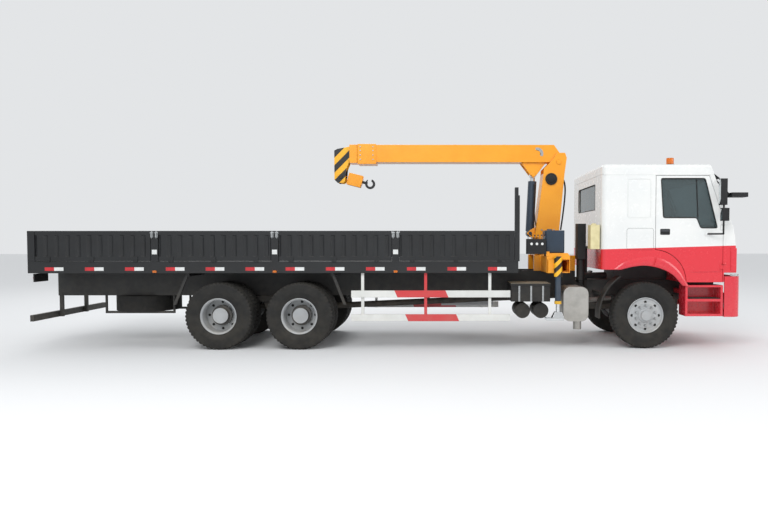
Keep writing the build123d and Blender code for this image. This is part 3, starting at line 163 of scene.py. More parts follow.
# %% [markdown]
# ## Finishes
# A working truck wears sprayed enamel over steel. Enamel is a clear, slightly wavy skin: a little
# uneven in tone, duller where dust has settled, and dirtier near the road. Every outdoor finish
# shares one dust layer, so the whole machine looks as if it stood in the same yard.

# %% Shared pattern nodes
DUST = "#9A8F7C"
MILLIMETRE = 0.001


def place_of(tree):
    """Object coordinates, and their three parts."""
    coordinates = node(tree, "TexCoord", out="Object")
    return coordinates, *(node(tree, "SeparateXYZ", coordinates, out=axis) for axis in range(3))


def speckle(tree, coordinates, size_mm, detail=3.0, low=0.35, high=0.65):
    """Soft noise whose blotches are about size_mm across, stretched to run from 0 to 1."""
    scale = 1 / (size_mm * MILLIMETRE)
    noise = node(tree, "TexNoise", {"Vector": coordinates, "Scale": scale, "Detail": detail})
    return node(tree, "MapRange", noise, low, high)


def blend_colours(tree, amount, first, second):
    """Mix of two colours, each a hex text or a socket."""
    first, second = (linear(c) if isinstance(c, str) else c for c in (first, second))
    return node(tree, "Mix", {0: amount, 6: first, 7: second}, out=2, data_type="RGBA")


def dusted(tree, colour, coordinates, height, amount):
    """Colour under a thin film of dust, thicker near the road and on faces that look up."""
    low = node(tree, "MapRange", height, 1.5, 0.2)
    up = node(tree, "SeparateXYZ", node(tree, "NewGeometry", out="Normal"), out=2)
    up = node(tree, "Math:MULTIPLY", node(tree, "Math:MAXIMUM", up, 0.0), 0.55)
    film = node(tree, "Math:ADD", node(tree, "Math:MULTIPLY", low, 0.7), up)
    patchy = node(tree, "Math:ADD", node(tree, "Math:MULTIPLY", speckle(tree, coordinates, 140), 0.6), 0.4)
    film = node(tree, "Math:MULTIPLY", node(tree, "Math:MULTIPLY", film, patchy), amount, use_clamp=True)
    return blend_colours(tree, film, colour, DUST), film


def new_finish(name):
    material = bpy.data.materials.new(name)
    material.use_nodes = True
    tree = material.node_tree
    return material, tree, tree.nodes["Principled BSDF"]


def bump(tree, shader, height, strength, distance_mm):
    relief = {"Height": height, "Strength": strength, "Distance": distance_mm * MILLIMETRE}
    tree.links.new(node(tree, "Bump", relief), shader.inputs["Normal"])


# %% [markdown]
# One builder makes all the enamels. Its mask argument is a function that returns a second colour's
# coverage from the place on the machine, which is how two-tone cabs, hazard stripes and guard
# bands are sprayed over a first coat.

# %% Enamel
def enamel(name, colour, shade, roughness=0.32, dust=0.35, mask=None, over="#000000", ripple=0.25,
           coat=0.25):
    """Sprayed enamel: two close tones, dust, orange-peel ripple and an optional masked second colour."""
    material, tree, shader = new_finish(name)
    coordinates, x, y, z = place_of(tree)
    tone = blend_colours(tree, speckle(tree, coordinates, 420), colour, shade)
    if mask:
        tone = blend_colours(tree, mask(tree, x, y, z), tone, over)
    tone, film = dusted(tree, tone, coordinates, z, dust)
    tree.links.new(tone, shader.inputs["Base Color"])
    rough = node(tree, "Math:ADD", node(tree, "Math:MULTIPLY", film, 0.45), roughness, use_clamp=True)
    rough = node(tree, "Math:ADD", node(tree, "Math:MULTIPLY", speckle(tree, coordinates, 60), 0.06), rough)
    tree.links.new(rough, shader.inputs["Roughness"])
    shader.inputs["Coat Weight"].default_value = coat
    shader.inputs["Coat Roughness"].default_value = 0.12
    bump(tree, shader, speckle(tree, coordinates, 9, detail=1.0), ripple, 0.15)
    return material


def soft_step(tree, value, edge, width):
    """0 below the edge and 1 above it, across a narrow band."""
    return node(tree, "MapRange", value, edge - width / 2, edge + width / 2)


SPLIT_REAR, SPLIT_RISE = 1.70, 0.028
WHITE_PAINT, RED_PAINT = "#E4E5E3", "#D92B38"


def below_split(tree, x, y, z):
    """Coverage of the cab's lower colour, whose edge climbs gently towards the front."""
    edge = node(tree, "Math:MULTIPLY", node(tree, "Math:SUBTRACT", x, AXLE), SPLIT_RISE)
    return node(tree, "Math:SUBTRACT", 1.0, soft_step(tree, node(tree, "Math:SUBTRACT", z, edge),
                                                      SPLIT_REAR, 0.004))


def slanted_bands(tree, along, across, pitch, lean):
    """Repeated slanted bands of equal width."""
    run = node(tree, "Math:ADD", along, node(tree, "Math:MULTIPLY", across, lean))
    saw = node(tree, "Math:FRACT", node(tree, "Math:DIVIDE", node(tree, "Math:ADD", run, 100.0), pitch))
    return soft_step(tree, saw, 0.5, 0.01)


def head_stripes(tree, x, y, z):
    return slanted_bands(tree, x, z, 0.27, -1.0)


def head_zone(tree, x, y, z):
    """The hazard colours start at the head plates; behind them the boom keeps the crane's colour."""
    return node(tree, "Math:SUBTRACT", 1.0, soft_step(tree, x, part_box("boom_mid")[0][0] - 0.002, 0.002))


crane_enamel = enamel("crane_orange_enamel", "#F6A41E", "#F09B14", 0.30, 0.2)
cab_enamel = enamel("two_tone_cab_enamel", WHITE_PAINT, "#DFE1E0", 0.22, 0.08, below_split, RED_PAINT,
                    0.08, 0.5)
red_enamel = enamel("cab_red_enamel", RED_PAINT, "#D0283A", 0.24, 0.1, ripple=0.08, coat=0.5)
white_enamel = enamel("cab_white_enamel", WHITE_PAINT, "#DFE1E0", 0.22, 0.08, ripple=0.08, coat=0.5)
bed_enamel = enamel("bed_black_enamel", "#0B0D10", "#111417", 0.42, 0.1, coat=0.1)
chassis_enamel = enamel("chassis_black_enamel", "#15171A", "#1D2023", 0.5, 0.3, coat=0.0)
slate_enamel = enamel("slate_blue_enamel", "#24384B", "#1D2E3F", 0.34, 0.3)
rim_enamel = enamel("rim_silver_enamel", "#A9ADB0", "#979B9F", 0.38, 0.4)
yellow_enamel = enamel("signal_yellow_enamel", "#E8B417", "#DDA811", 0.35, 0.3)
print("enamels", len(bpy.data.materials))


# %% Striped enamels
def jack_stripes(tree, x, y, z):
    return slanted_bands(tree, x, z, 0.17, -1.0)


GUARD_BAND = (AXLE - 4.105, AXLE - 3.249)
BAND_SLANT = 0.45


def guard_bands(tree, x, y, z):
    """One red stretch with slanted ends in the middle of each white guard rail."""
    slid = node(tree, "Math:ADD", x, node(tree, "Math:MULTIPLY", node(tree, "Math:SUBTRACT", z, 0.7),
                                          BAND_SLANT))
    first = soft_step(tree, slid, GUARD_BAND[0], 0.004)
    last = node(tree, "Math:SUBTRACT", 1.0, soft_step(tree, slid, GUARD_BAND[1], 0.004))
    return node(tree, "Math:MULTIPLY", first, last)


def head_black(tree, x, y, z):
    return node(tree, "Math:MULTIPLY", head_stripes(tree, x, y, z), head_zone(tree, x, y, z))


hazard_enamel = enamel("hazard_striped_enamel", "#F2B51B", "#EDAC14", 0.34, 0.2, head_black, "#101113")
jack_enamel = enamel("jack_striped_enamel", "#F2B51B", "#EDAC14", 0.36, 0.3, jack_stripes, "#101113")
guard_enamel = enamel("guard_white_enamel", "#DEDFDC", "#D2D4D1", 0.36, 0.35, guard_bands, "#C92A33")

# %% [markdown]
# Rubber and plastic are dull because their surface is finely rough. Tyre rubber is never black: road
# film greys it, most of all on the tread. Moulded plastic shows a fine leathery grain.


# %% Rubber and plastic
def moulded(name, colour, shade, roughness, dust, grain_mm, relief, specular=0.4):
    """Rubber or moulded plastic: fine grain of a given size and a dusty bloom."""
    material, tree, shader = new_finish(name)
    coordinates, x, y, z = place_of(tree)
    tone = blend_colours(tree, speckle(tree, coordinates, 90), colour, shade)
    tone, film = dusted(tree, tone, coordinates, z, dust)
    tree.links.new(tone, shader.inputs["Base Color"])
    tree.links.new(node(tree, "Math:ADD", node(tree, "Math:MULTIPLY", film, 0.2), roughness,
                        use_clamp=True), shader.inputs["Roughness"])
    shader.inputs["Specular IOR Level"].default_value = specular
    bump(tree, shader, speckle(tree, coordinates, grain_mm, detail=2.0), relief, 0.4)
    return material


tyre_rubber = moulded("tyre_rubber", "#131415", "#1A1B1C", 0.8, 0.1, 6, 0.3)
seal_rubber = moulded("seal_rubber", "#0E0F10", "#151617", 0.6, 0.15, 3, 0.15)
hose_rubber = moulded("hose_rubber", "#131416", "#1B1C1E", 0.5, 0.2, 3, 0.2)
black_plastic = moulded("grained_black_plastic", "#101113", "#17181A", 0.55, 0.18, 2.5, 0.35)
dash_plastic = moulded("dash_grey_plastic", "#3B3D41", "#44464A", 0.6, 0.05, 2.5, 0.35)
tank_plastic = moulded("clouded_tank_plastic", "#D9CFA2", "#C9BE90", 0.45, 0.2, 8, 0.1)
dusty_lid = moulded("dusty_battery_lid", "#8B8374", "#79725F", 0.8, 0.7, 5, 0.3)

# %% [markdown]
# Bare metals are metallic all the way. What tells them apart is colour and roughness: chrome on
# the rods is a mirror, brushed tank aluminium is streaked, and muffler steel is blotched by heat.


# %% Bare metals
def metal(name, colour, shade, roughness, streak=(1, 1, 1), dust=0.2, blotch_mm=80, relief=0.1):
    """Bare metal with blotches or streaks: the streak scale stretches the pattern along an axis."""
    material, tree, shader = new_finish(name)
    coordinates, x, y, z = place_of(tree)
    drawn = node(tree, "Mapping", {"Vector": coordinates, "Scale": streak})
    pattern = speckle(tree, drawn, blotch_mm)
    tone = blend_colours(tree, pattern, colour, shade)
    tone, film = dusted(tree, tone, coordinates, z, dust)
    tree.links.new(tone, shader.inputs["Base Color"])
    tree.links.new(node(tree, "Math:SUBTRACT", 1.0, film, use_clamp=True), shader.inputs["Metallic"])
    rough = node(tree, "Math:ADD", node(tree, "Math:MULTIPLY", pattern, 0.12), roughness)
    tree.links.new(node(tree, "Math:ADD", rough, node(tree, "Math:MULTIPLY", film, 0.5), use_clamp=True),
                   shader.inputs["Roughness"])
    bump(tree, shader, pattern, relief, 0.2)
    return material


muffler_steel = metal("heat_blotched_muffler_steel", "#BDBBB6", "#ADABA6", 0.42, blotch_mm=160)
tank_aluminium = metal("brushed_tank_aluminium", "#C3C6C8", "#AEB1B4", 0.3, (1, 12, 12), blotch_mm=60)
rod_chrome = metal("rod_chrome", "#DADCDD", "#D0D3D5", 0.08, dust=0.05, relief=0.0)
zinc_steel = metal("zinc_plated_steel", "#B8BBBC", "#9EA1A2", 0.35, blotch_mm=12, dust=0.15)
axle_iron = enamel("axle_iron_enamel", "#1B1C1E", "#252628", 0.6, 0.45, coat=0.0)
engine_iron = enamel("engine_iron_enamel", "#3C4043", "#474B4E", 0.6, 0.5, coat=0.0)


# %% Glass and lenses
def lens(name, colour, roughness=0.05, transmission=0.85, emission=0.0):
    """Clear or coloured moulded lens."""
    material, tree, shader = new_finish(name)
    coordinates, x, y, z = place_of(tree)
    tone = blend_colours(tree, node(tree, "Math:MULTIPLY", speckle(tree, coordinates, 30), 0.15), colour,
                         "#8F8A80")
    tree.links.new(tone, shader.inputs["Base Color"])
    shader.inputs["Roughness"].default_value = roughness
    shader.inputs["IOR"].default_value = 1.49
    shader.inputs["Transmission Weight"].default_value = transmission
    bump(tree, shader, speckle(tree, coordinates, 14, detail=0.0), 0.1, 0.3)
    return material


window_glass = lens("tinted_window_glass", "#7F9296", 0.02, 0.8)
clear_lens = lens("clear_lamp_lens", "#EDF1F2", 0.04)
amber_lens = lens("amber_lamp_lens", "#F07D12", 0.15, 0.35)
red_lens = lens("red_lamp_lens", "#C3141C", 0.15, 0.35)
mirror_silver = metal("silvered_mirror", "#E3E7E9", "#DCE1E3", 0.03, dust=0.02, relief=0.0)
reflector_white = moulded("reflective_white_sheet", "#DADCDB", "#CFD1D0", 0.35, 0.15, 5, 0.2, 0.6)
reflector_red = moulded("reflective_red_sheet", "#C2222C", "#B01D27", 0.35, 0.15, 5, 0.2, 0.6)


# %% [markdown]
# Seat cloth is a plain weave. Two sine ramps across each other give the over-and-under of its
# threads, drawn at four millimetres because the real one millimetre would be too fine to show.

# %% Seat cloth
def woven(name, colour, shade, thread_mm=4):
    material, tree, shader = new_finish(name)
    coordinates, x, y, z = place_of(tree)
    pace = math.pi / (thread_mm * MILLIMETRE)
    weave = node(tree, "Math:MULTIPLY", node(tree, "Math:SINE", node(tree, "Math:MULTIPLY", y, pace)),
                  node(tree, "Math:SINE", node(tree, "Math:MULTIPLY", node(tree, "Math:ADD", x, z), pace)))
    weave = node(tree, "Math:ADD", node(tree, "Math:MULTIPLY", weave, 0.5), 0.5)
    tree.links.new(blend_colours(tree, weave, colour, shade), shader.inputs["Base Color"])
    shader.inputs["Roughness"].default_value = 0.9
    shader.inputs["Sheen Weight"].default_value = 0.25
    bump(tree, shader, weave, 0.4, 0.6)
    return material


seat_cloth = woven("seat_cloth", "#3E4249", "#53575F")
bunk_cloth = woven("bunk_cloth", "#6B5A48", "#7B6A57")
print("finishes", len(bpy.data.materials))

# %% [markdown]
# ## Rounded steelwork
# Nothing folded, cast or moulded has a knife edge, and an edge only looks real once it catches a
# thin line of light. Each construction piece is copied, the loose triangles are welded into whole
# faces, and a small bevel with area-weighted normals rounds every corner sharper than its limit.

# %% Welding and rounding a construction piece
BODY_OF = {name: body for body, names in frame["record"]["behaviour"]["bodies"].items() for name in names}
WELD = 2e-5
FLAT_WITHIN = math.radians(0.6)


def settle(piece, name, body=None):
    """The piece rides where the named construction piece rides."""
    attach(piece, body or BODY_OF[name])
    return piece


def rounded_edges(piece, width_mm, segments=2, angle=33.0):
    if width_mm:
        edge = piece.modifiers.new("rounded_edges", "BEVEL")
        edge.width, edge.segments = width_mm * MILLIMETRE, segments
        edge.limit_method, edge.angle_limit = "ANGLE", math.radians(angle)
        edge.use_clamp_overlap = False
        edge.miter_outer = "MITER_ARC"
    piece.modifiers.new("even_shading", "WEIGHTED_NORMAL").keep_sharp = True
    return piece


def put(name, mesh, finishes):
    """New object for a mesh, with its finishes."""
    piece = bpy.data.objects.new(name, mesh)
    bpy.context.scene.collection.objects.link(piece)
    for finish in finishes:
        mesh.materials.append(finish)
    return piece


def soften(name, finishes, width_mm=3.0, choose=None, angle=33.0, segments=2, flatten=True):
    """Welded, rounded copy of a construction piece. choose(centres) gives each face's finish number."""
    work = bmesh.new()
    work.from_mesh(frame["nodes"][name].data)
    bmesh.ops.remove_doubles(work, verts=work.verts, dist=WELD)
    if flatten:
        bmesh.ops.dissolve_limit(work, angle_limit=FLAT_WITHIN, verts=work.verts, edges=work.edges)
    mesh = bpy.data.meshes.new(name + "_finished")
    work.to_mesh(mesh)
    work.free()
    mesh.polygons.foreach_set("use_smooth", np.ones(len(mesh.polygons), dtype=bool))
    piece = put(name + "_finished", mesh, finishes)
    if choose:
        centres = np.empty(len(mesh.polygons) * 3)
        mesh.polygons.foreach_get("center", centres)
        mesh.polygons.foreach_set("material_index", choose(centres.reshape(-1, 3)).astype(np.int32))
    rounded_edges(piece, width_mm, segments, angle)
    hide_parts(name)
    return settle(piece, name)


# %% [markdown]
# ## Surfaces as grids
# Every new piece is a surface worked out as whole arrays: rows and columns of points, turned into
# quads. Parts are gathered into one mesh, their meeting points welded, and their normals made to
# point outwards. A part may carry its own finish number.

# %% Grids, sweeps and repeats
def grid(points, wrap_rows=False, wrap_columns=False, finish=0):
    """Vertices, quads and finish of a grid of points. A wrapped direction joins its end to its start."""
    numbers = np.arange(points.shape[0] * points.shape[1]).reshape(points.shape[:2])
    if wrap_rows:
        numbers = np.vstack([numbers, numbers[:1]])
    if wrap_columns:
        numbers = np.hstack([numbers, numbers[:, :1]])
    quads = np.stack([numbers[:-1, :-1], numbers[1:, :-1], numbers[1:, 1:], numbers[:-1, 1:]], axis=-1)
    return points.reshape(-1, 3), quads.reshape(-1, 4), finish


def build(name, parts, finishes, body, width_mm=0.0, angle=33.0, segments=2, stands_for=()):
    """One piece from several parts, riding on a body."""
    starts = np.cumsum([0] + [len(part[0]) for part in parts])
    vertices = np.vstack([part[0] for part in parts])
    quads = np.vstack([part[1] + start for part, start in zip(parts, starts)])
    mesh = bpy.data.meshes.new(name)
    mesh.from_pydata(vertices.tolist(), [], quads.tolist())
    index = np.concatenate([np.full(len(part[1]), part[2]) for part in parts]).astype(np.int32)
    mesh.polygons.foreach_set("material_index", index)
    work = bmesh.new()
    work.from_mesh(mesh)
    bmesh.ops.remove_doubles(work, verts=work.verts, dist=1e-6)
    bmesh.ops.recalc_face_normals(work, faces=work.faces)
    work.to_mesh(mesh)
    work.free()
    mesh.polygons.foreach_set("use_smooth", np.ones(len(mesh.polygons), dtype=bool))
    piece = put(name, mesh, finishes)
    mesh.set_sharp_from_angle(angle=math.radians(angle))
    rounded_edges(piece, width_mm, segments, angle)
    if stands_for:
        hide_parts(*stands_for)
    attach(piece, body)
    return piece


BOX_CORNERS = np.array([[i, j, k] for i in (0, 1) for j in (0, 1) for k in (0, 1)], dtype=float)
BOX_QUADS = np.array([[0, 1, 3, 2], [4, 6, 7, 5], [0, 4, 5, 1], [2, 3, 7, 6], [0, 2, 6, 4], [1, 5, 7, 3]])


def plate(low, high, finish=0):
    """Rectangular plate or bar between two corners."""
    low, high = np.minimum(low, high), np.maximum(low, high)
    return low + BOX_CORNERS * (high - low), BOX_QUADS, finish


def prism(outline, low, high, axis=1, finish=0):
    """Flat outline of two coordinates, drawn along the third axis from low to high, with pole caps."""
    outline = np.asarray(outline, dtype=float)
    middle = outline.mean(axis=0)
    rings = [np.insert(ring, axis, height, axis=1) for ring, height in
             ((np.tile(middle, (len(outline), 1)), low), (outline, low), (outline, high),
              (np.tile(middle, (len(outline), 1)), high))]
    return grid(np.array(rings), wrap_columns=True, finish=finish)


def turned(profile, centre, side, count=96, closed=False, finish=0):
    """Profile of (radius, outward distance) carried round an axis parallel to Y."""
    profile = np.asarray(profile, dtype=float)
    turn = np.linspace(0, 2 * math.pi, count, endpoint=False)[:, None]
    radius, out = profile[None, :, 0], profile[None, :, 1]
    points = np.stack([centre[0] + radius * np.cos(turn), centre[1] + side * out + 0 * turn,
                       centre[2] + radius * np.sin(turn)], axis=-1)
    return grid(points, wrap_rows=True, wrap_columns=closed, finish=finish)


def smooth_line(points, per_span=8):
    """Catmull-Rom curve through points: each span is the cubic whose slopes follow its neighbours."""
    p = np.asarray(points, dtype=float)
    p = np.vstack([2 * p[0] - p[1], p, 2 * p[-1] - p[-2]])
    t = np.linspace(0, 1, per_span, endpoint=False)[:, None]
    spans = [0.5 * (2 * b + (c - a) * t + (2 * a - 5 * b + 4 * c - d) * t ** 2
                    + (3 * b - a - 3 * c + d) * t ** 3)
             for a, b, c, d in zip(p[:-3], p[1:-2], p[2:-1], p[3:])]
    return np.vstack([*spans, p[-2:-1]])


def tube(path, radius, sides=10, finish=0, closed=False):
    """Round bar or hose: a circle carried along a path, square to it, with pole ends unless closed."""
    path = np.asarray(path, dtype=float)
    ahead = np.roll(path, -1, axis=0) - np.roll(path, 1, axis=0)
    if not closed:
        ahead[0], ahead[-1] = path[1] - path[0], path[-1] - path[-2]
    ahead /= np.linalg.norm(ahead, axis=1)[:, None]
    spread = np.ptp(path, axis=0)
    guide = np.eye(3)[int(np.argmin(spread))] + np.array([0.011, 0.017, 0.013])
    first = np.cross(ahead, guide)
    first /= np.linalg.norm(first, axis=1)[:, None]
    second = np.cross(ahead, first)
    turn = np.linspace(0, 2 * math.pi, sides, endpoint=False)[None, :, None]
    radius = np.broadcast_to(np.asarray(radius, dtype=float), (len(path),))[:, None, None]
    rings = path[:, None] + radius * (np.cos(turn) * first[:, None] + np.sin(turn) * second[:, None])
    if not closed:
        rings = np.vstack([np.repeat(path[None, :1], sides, axis=1), rings,
                           np.repeat(path[None, -1:], sides, axis=1)])
    return grid(rings, wrap_rows=closed, wrap_columns=True, finish=finish)


def repeat(part, offsets):
    """Copies of a part at each offset, as one part."""
    vertices, quads, finish = part
    offsets = np.asarray(offsets, dtype=float)
    steps = np.arange(len(offsets))[:, None, None] * len(vertices)
    return (vertices[None] + offsets[:, None]).reshape(-1, 3), (quads[None] + steps).reshape(-1, 4), finish


def round_corners(corners, radius, steps=5):
    """Polygon with each corner replaced by a short curve that leaves the sides at the radius."""
    c = np.asarray(corners, dtype=float)
    before, after = np.roll(c, 1, axis=0) - c, np.roll(c, -1, axis=0) - c
    before *= radius / np.linalg.norm(before, axis=1)[:, None]
    after *= radius / np.linalg.norm(after, axis=1)[:, None]
    t = np.linspace(0, 1, steps)[None, :, None]
    curve = c[:, None] + before[:, None] * (1 - t) ** 2 + after[:, None] * t ** 2
    return curve.reshape(-1, c.shape[1])


def stand_up(flat, y):
    """Flat (x, z) points put at one Y."""
    flat = np.asarray(flat, dtype=float)
    return np.column_stack([flat[:, 0], np.full(len(flat), y), flat[:, 1]])


# %% Steelwork that keeps its construction shape
PLAIN = [
    ("chassis_frame", chassis_enamel, "chassis_paint", 2.5),
    ("axles_and_springs", axle_iron, "axle_paint", 2.0),
    ("engine", engine_iron, "engine_iron", 8.0),
    ("front_bumper", red_enamel, "cab_red", 6.0),
    ("cab_steps", red_enamel, "cab_red", 5.0),
    ("front_mudguards", black_plastic, "black_plastic", 3.0),
    ("fuel_tank", tank_aluminium, "tank_aluminium", 3.0),
    ("muffler", muffler_steel, "muffler_steel", 3.0),
    ("side_guards", guard_enamel, "guard_paint", 4.0),
    ("spare_wheel", tyre_rubber, "rubber", 6.0),
    ("bed_floor", bed_enamel, "bed_paint", 2.5),
    ("bed_posts", bed_enamel, "bed_paint", 3.0),
    ("hydraulic_tank", slate_enamel, "slate_paint", 8.0),
    ("cab_shell", cab_enamel, "cab_white", 8.0),
    ("cab_front_panel", cab_enamel, "cab_white", 8.0),
    ("dashboard", dash_plastic, "dash_plastic", 12.0),
    ("knuckle_right", axle_iron, "axle_paint", 3.0),
    ("knuckle_left", axle_iron, "axle_paint", 3.0),
    ("column", crane_enamel, "crane_orange", 4.0),
    ("boom", crane_enamel, "crane_orange", 5.0),
    ("boom_mid", crane_enamel, "crane_orange", 4.0),
    ("luff_barrel", slate_enamel, "slate_paint", 4.0),
    ("luff_rod", rod_chrome, "chrome", 3.0),
    ("jack_right", rod_chrome, "chrome", 3.0),
    ("jack_left", rod_chrome, "chrome", 3.0),
]
HOLED = ("cab_steps", "front_bumper")      # faces with holes stay as triangles
for name, finish, slot, width_mm in PLAIN:
    soften(name, [finish], width_mm, flatten=name not in HOLED)
print("rounded", len(PLAIN), "pieces")

# %% [markdown]
# ## Wheels
# A truck tyre is a bead, a bulging sidewall, a square shoulder and a nearly flat tread. Its section
# is one closed profile carried round the axle. The tread is cut by lowering the radius wherever a
# groove passes: three zigzag grooves run round it and slots run out through the shoulders.

# %% Tyres
TYRE_SECTION = [(0.285, -0.112), (0.285, 0.112), (0.292, 0.126), (0.300, 0.131), (0.304, 0.1285),
                (0.325, 0.139),
                (0.360, 0.151), (0.395, 0.1562), (0.400, 0.1575), (0.406, 0.1575), (0.411,
                                                                                    0.1562), (0.450,
                                                                                              0.1555),
                (0.480, 0.152), (0.505, 0.147), (0.510, 0.149), (0.530, 0.146), (0.546, 0.141),
                (0.556, 0.132)]
TREAD_HALF, TREAD_R = 0.126, 0.561
GROOVE_DEPTH = 0.013
SLOTS, STEPS_PER_SLOT = 52, 5


def tyre_part(centre, side):
    """Section carried round; radius is lowered by a smooth pulse round each groove and slot."""
    flank = np.array(TYRE_SECTION[1:])
    tread_y = np.linspace(TREAD_HALF, -TREAD_HALF, 41)
    tread = np.column_stack([TREAD_R - 0.0035 * (tread_y / TREAD_HALF) ** 4, tread_y])
    section = np.vstack([flank, tread, flank[::-1] * (1, -1)])
    turn = np.linspace(0, 2 * math.pi, SLOTS * STEPS_PER_SLOT, endpoint=False)[:, None]
    radius, out = section[None, :, 0], section[None, :, 1]
    share = (turn / (2 * math.pi) * SLOTS) % 1.0
    zigzag = 0.008 * (np.abs(share - 0.5) * 4 - 1)
    grooves = sum(np.exp(-((out - place - zigzag) / 0.0062) ** 4) for place in (-0.062, 0.0, 0.062))
    shoulder = np.clip((np.abs(out) - 0.086) / 0.008, 0, 1) * np.clip((radius - 0.508) / 0.012, 0, 1)
    slots = shoulder * (np.abs(share - 0.5) < 0.21)
    radius = radius - GROOVE_DEPTH * np.clip(np.maximum(grooves * (radius > 0.55), slots), 0, 1)
    points = np.stack([centre[0] + radius * np.cos(turn), centre[1] + side * out + 0 * turn,
                       centre[2] + radius * np.sin(turn)], axis=-1)
    return grid(points, wrap_rows=True, wrap_columns=True)


FRONT_Y, TWIN_Y = 1.011, (1.0875, 0.7425)
WHEELS = [("tyre_front_{}", "rim_front_{}", "front_wheel_{}", AXLE, (FRONT_Y,)),
          ("tyres_middle_{}", "rims_middle_{}", "middle_wheel_{}", MIDDLE_X, TWIN_Y),
          ("tyres_rear_{}", "rims_rear_{}", "rear_wheel_{}", REAR_X, TWIN_Y)]
for side, side_name in SIDE_NAMES.items():
    for tyre_node, rim_node, body, x, planes in WHEELS:
        tyre_name, body = tyre_node.format(side_name), body.format(side_name)
        for number, y in enumerate(planes):
            build(f"{tyre_name}_{number}_treaded", [tyre_part((x, side * y, HUB_Z), side)], [tyre_rubber],
                  body, stands_for=(tyre_name,), angle=60)

# %% [markdown]
# The rims are pressed and welded steel. Each gets what a wheel fitter sees: the rolled lip at the bead,
# ten nuts on washers, hand holes, and a hub cap. The hand holes are thin near-black discs on the disc
# face: painted shade standing for the dark inside of the wheel behind each hole. The front disc bulges
# outwards, the rear ones are deeply dished because two wheels share one hub.

# %% Rim details
NUT_CIRCLE, NUT_COUNT = 0.1675, 10
HAND_HOLE_CIRCLE, HAND_HOLES = 0.2265, 8


def ring_places(circle, count, phase=0.0):
    turn = np.linspace(0, 2 * math.pi, count, endpoint=False) + phase
    return np.column_stack([circle * np.cos(turn), np.zeros(count), circle * np.sin(turn)])


def wheel_nuts(centre, side, finish):
    """Washer, six-sided nut and stud end, repeated round the bolt circle."""
    washer = turned([(0, 0), (0.023, 0), (0.023, 0.004), (0, 0.004)], centre, side, 20, finish=finish)
    nut = turned([(0, 0.004), (0.0185, 0.004), (0.0185, 0.022), (0.015, 0.026), (0, 0.026)], centre, side,
                 6, finish=finish)
    stud = turned([(0, 0.02), (0.010, 0.02), (0.010, 0.035), (0, 0.036)], centre, side, 12, finish=finish)
    return [repeat(part, ring_places(NUT_CIRCLE, NUT_COUNT, 0.3)) for part in (washer, nut, stud)]


LIP = [(0.2845, 0.100), (0.2845, 0.124), (0.292, 0.131), (0.301, 0.134), (0.304, 0.138), (0.298, 0.141),
       (0.286, 0.135), (0.274, 0.122), (0.2705, 0.100)]
FRONT_FACE = [(0.270, 0.088), (0.262, 0.092), (0.248, 0.108), (0.232, 0.1205), (0.206, 0.1275),
              (0.185, 0.1285),
              (0.124, 0.1285), (0.121, 0.1300), (0.1195, 0.143), (0.114, 0.148), (0.080, 0.1495), (0.0765,
                                                                                                   0.180),
              (0.071, 0.187), (0.050, 0.1895), (0.0, 0.1898)]
REAR_CAP = [(0.172, -0.15), (0.1715, -0.055), (0.166, -0.049), (0.134, -0.047), (0.1315, 0.024),
            (0.127, 0.031),
            (0.112, 0.034), (0.108, 0.0375), (0.050, 0.0395), (0.0, 0.0398)]
FRONT_NUT_OUT, REAR_NUT_OUT = 0.1285, -0.105
# Near-black finish for the hand-hole discs: painted shade where each hole shows the dark inside of the wheel.
hand_hole_painted_shade = moulded("rim_hole_shadow", "#08090A", "#0C0D0E", 0.7, 0.05, 5, 0.1)
hub_enamel = enamel("hub_dark_enamel", "#3A3D40", "#46494C", 0.5, 0.5, coat=0.0)
for side, side_name in SIDE_NAMES.items():
    for tyre_node, rim_node, body, x, planes in WHEELS:
        front = len(planes) == 1
        centre = (x, side * planes[0], HUB_Z)
        face = turned(FRONT_FACE if front else REAR_CAP, centre, side, 96, finish=0 if front else 1)
        out = FRONT_NUT_OUT if front else REAR_NUT_OUT
        hole_out = out - (0.004 if front else 0.0)
        # Each hand hole is a flat disc with the painted-shade finish (finish 2), not a real opening.
        hole = turned([(0, hole_out), (0.0215, hole_out), (0.0235, hole_out + 0.0012),
                       (0, hole_out + 0.0012)],
                      centre, side, 20, finish=2)
        nuts = [(v + np.array([0, side * out, 0]), q, f) for v, q, f in wheel_nuts(centre, side, 3)]
        parts = [turned(LIP, centre, side, 96, closed=True), face,
                 repeat(hole, ring_places(HAND_HOLE_CIRCLE, HAND_HOLES)), *nuts]
        build(f"{rim_node.format(side_name)}_details", parts,
              [rim_enamel, hub_enamel, hand_hole_painted_shade, zinc_steel],
              body.format(side_name), angle=40)
    soften(f"rim_front_{side_name}", [rim_enamel], 1.5)
    for axle_name in ("middle", "rear"):
        soften(f"rims_{axle_name}_{side_name}", [rim_enamel], 1.5)
print("wheels finished")

# %% [markdown]
# ## Bed
# The drop sides are roll-formed steel: a flat rail along the top and bottom, and upright flutes
# between them that stiffen the sheet. The section round the board is one closed loop, and the
# flutes push its middle rows inwards by a rounded wave along the length.

# %% Fluted boards
FLUTE_PITCH, FLUTE_DEPTH = 0.18, 0.020


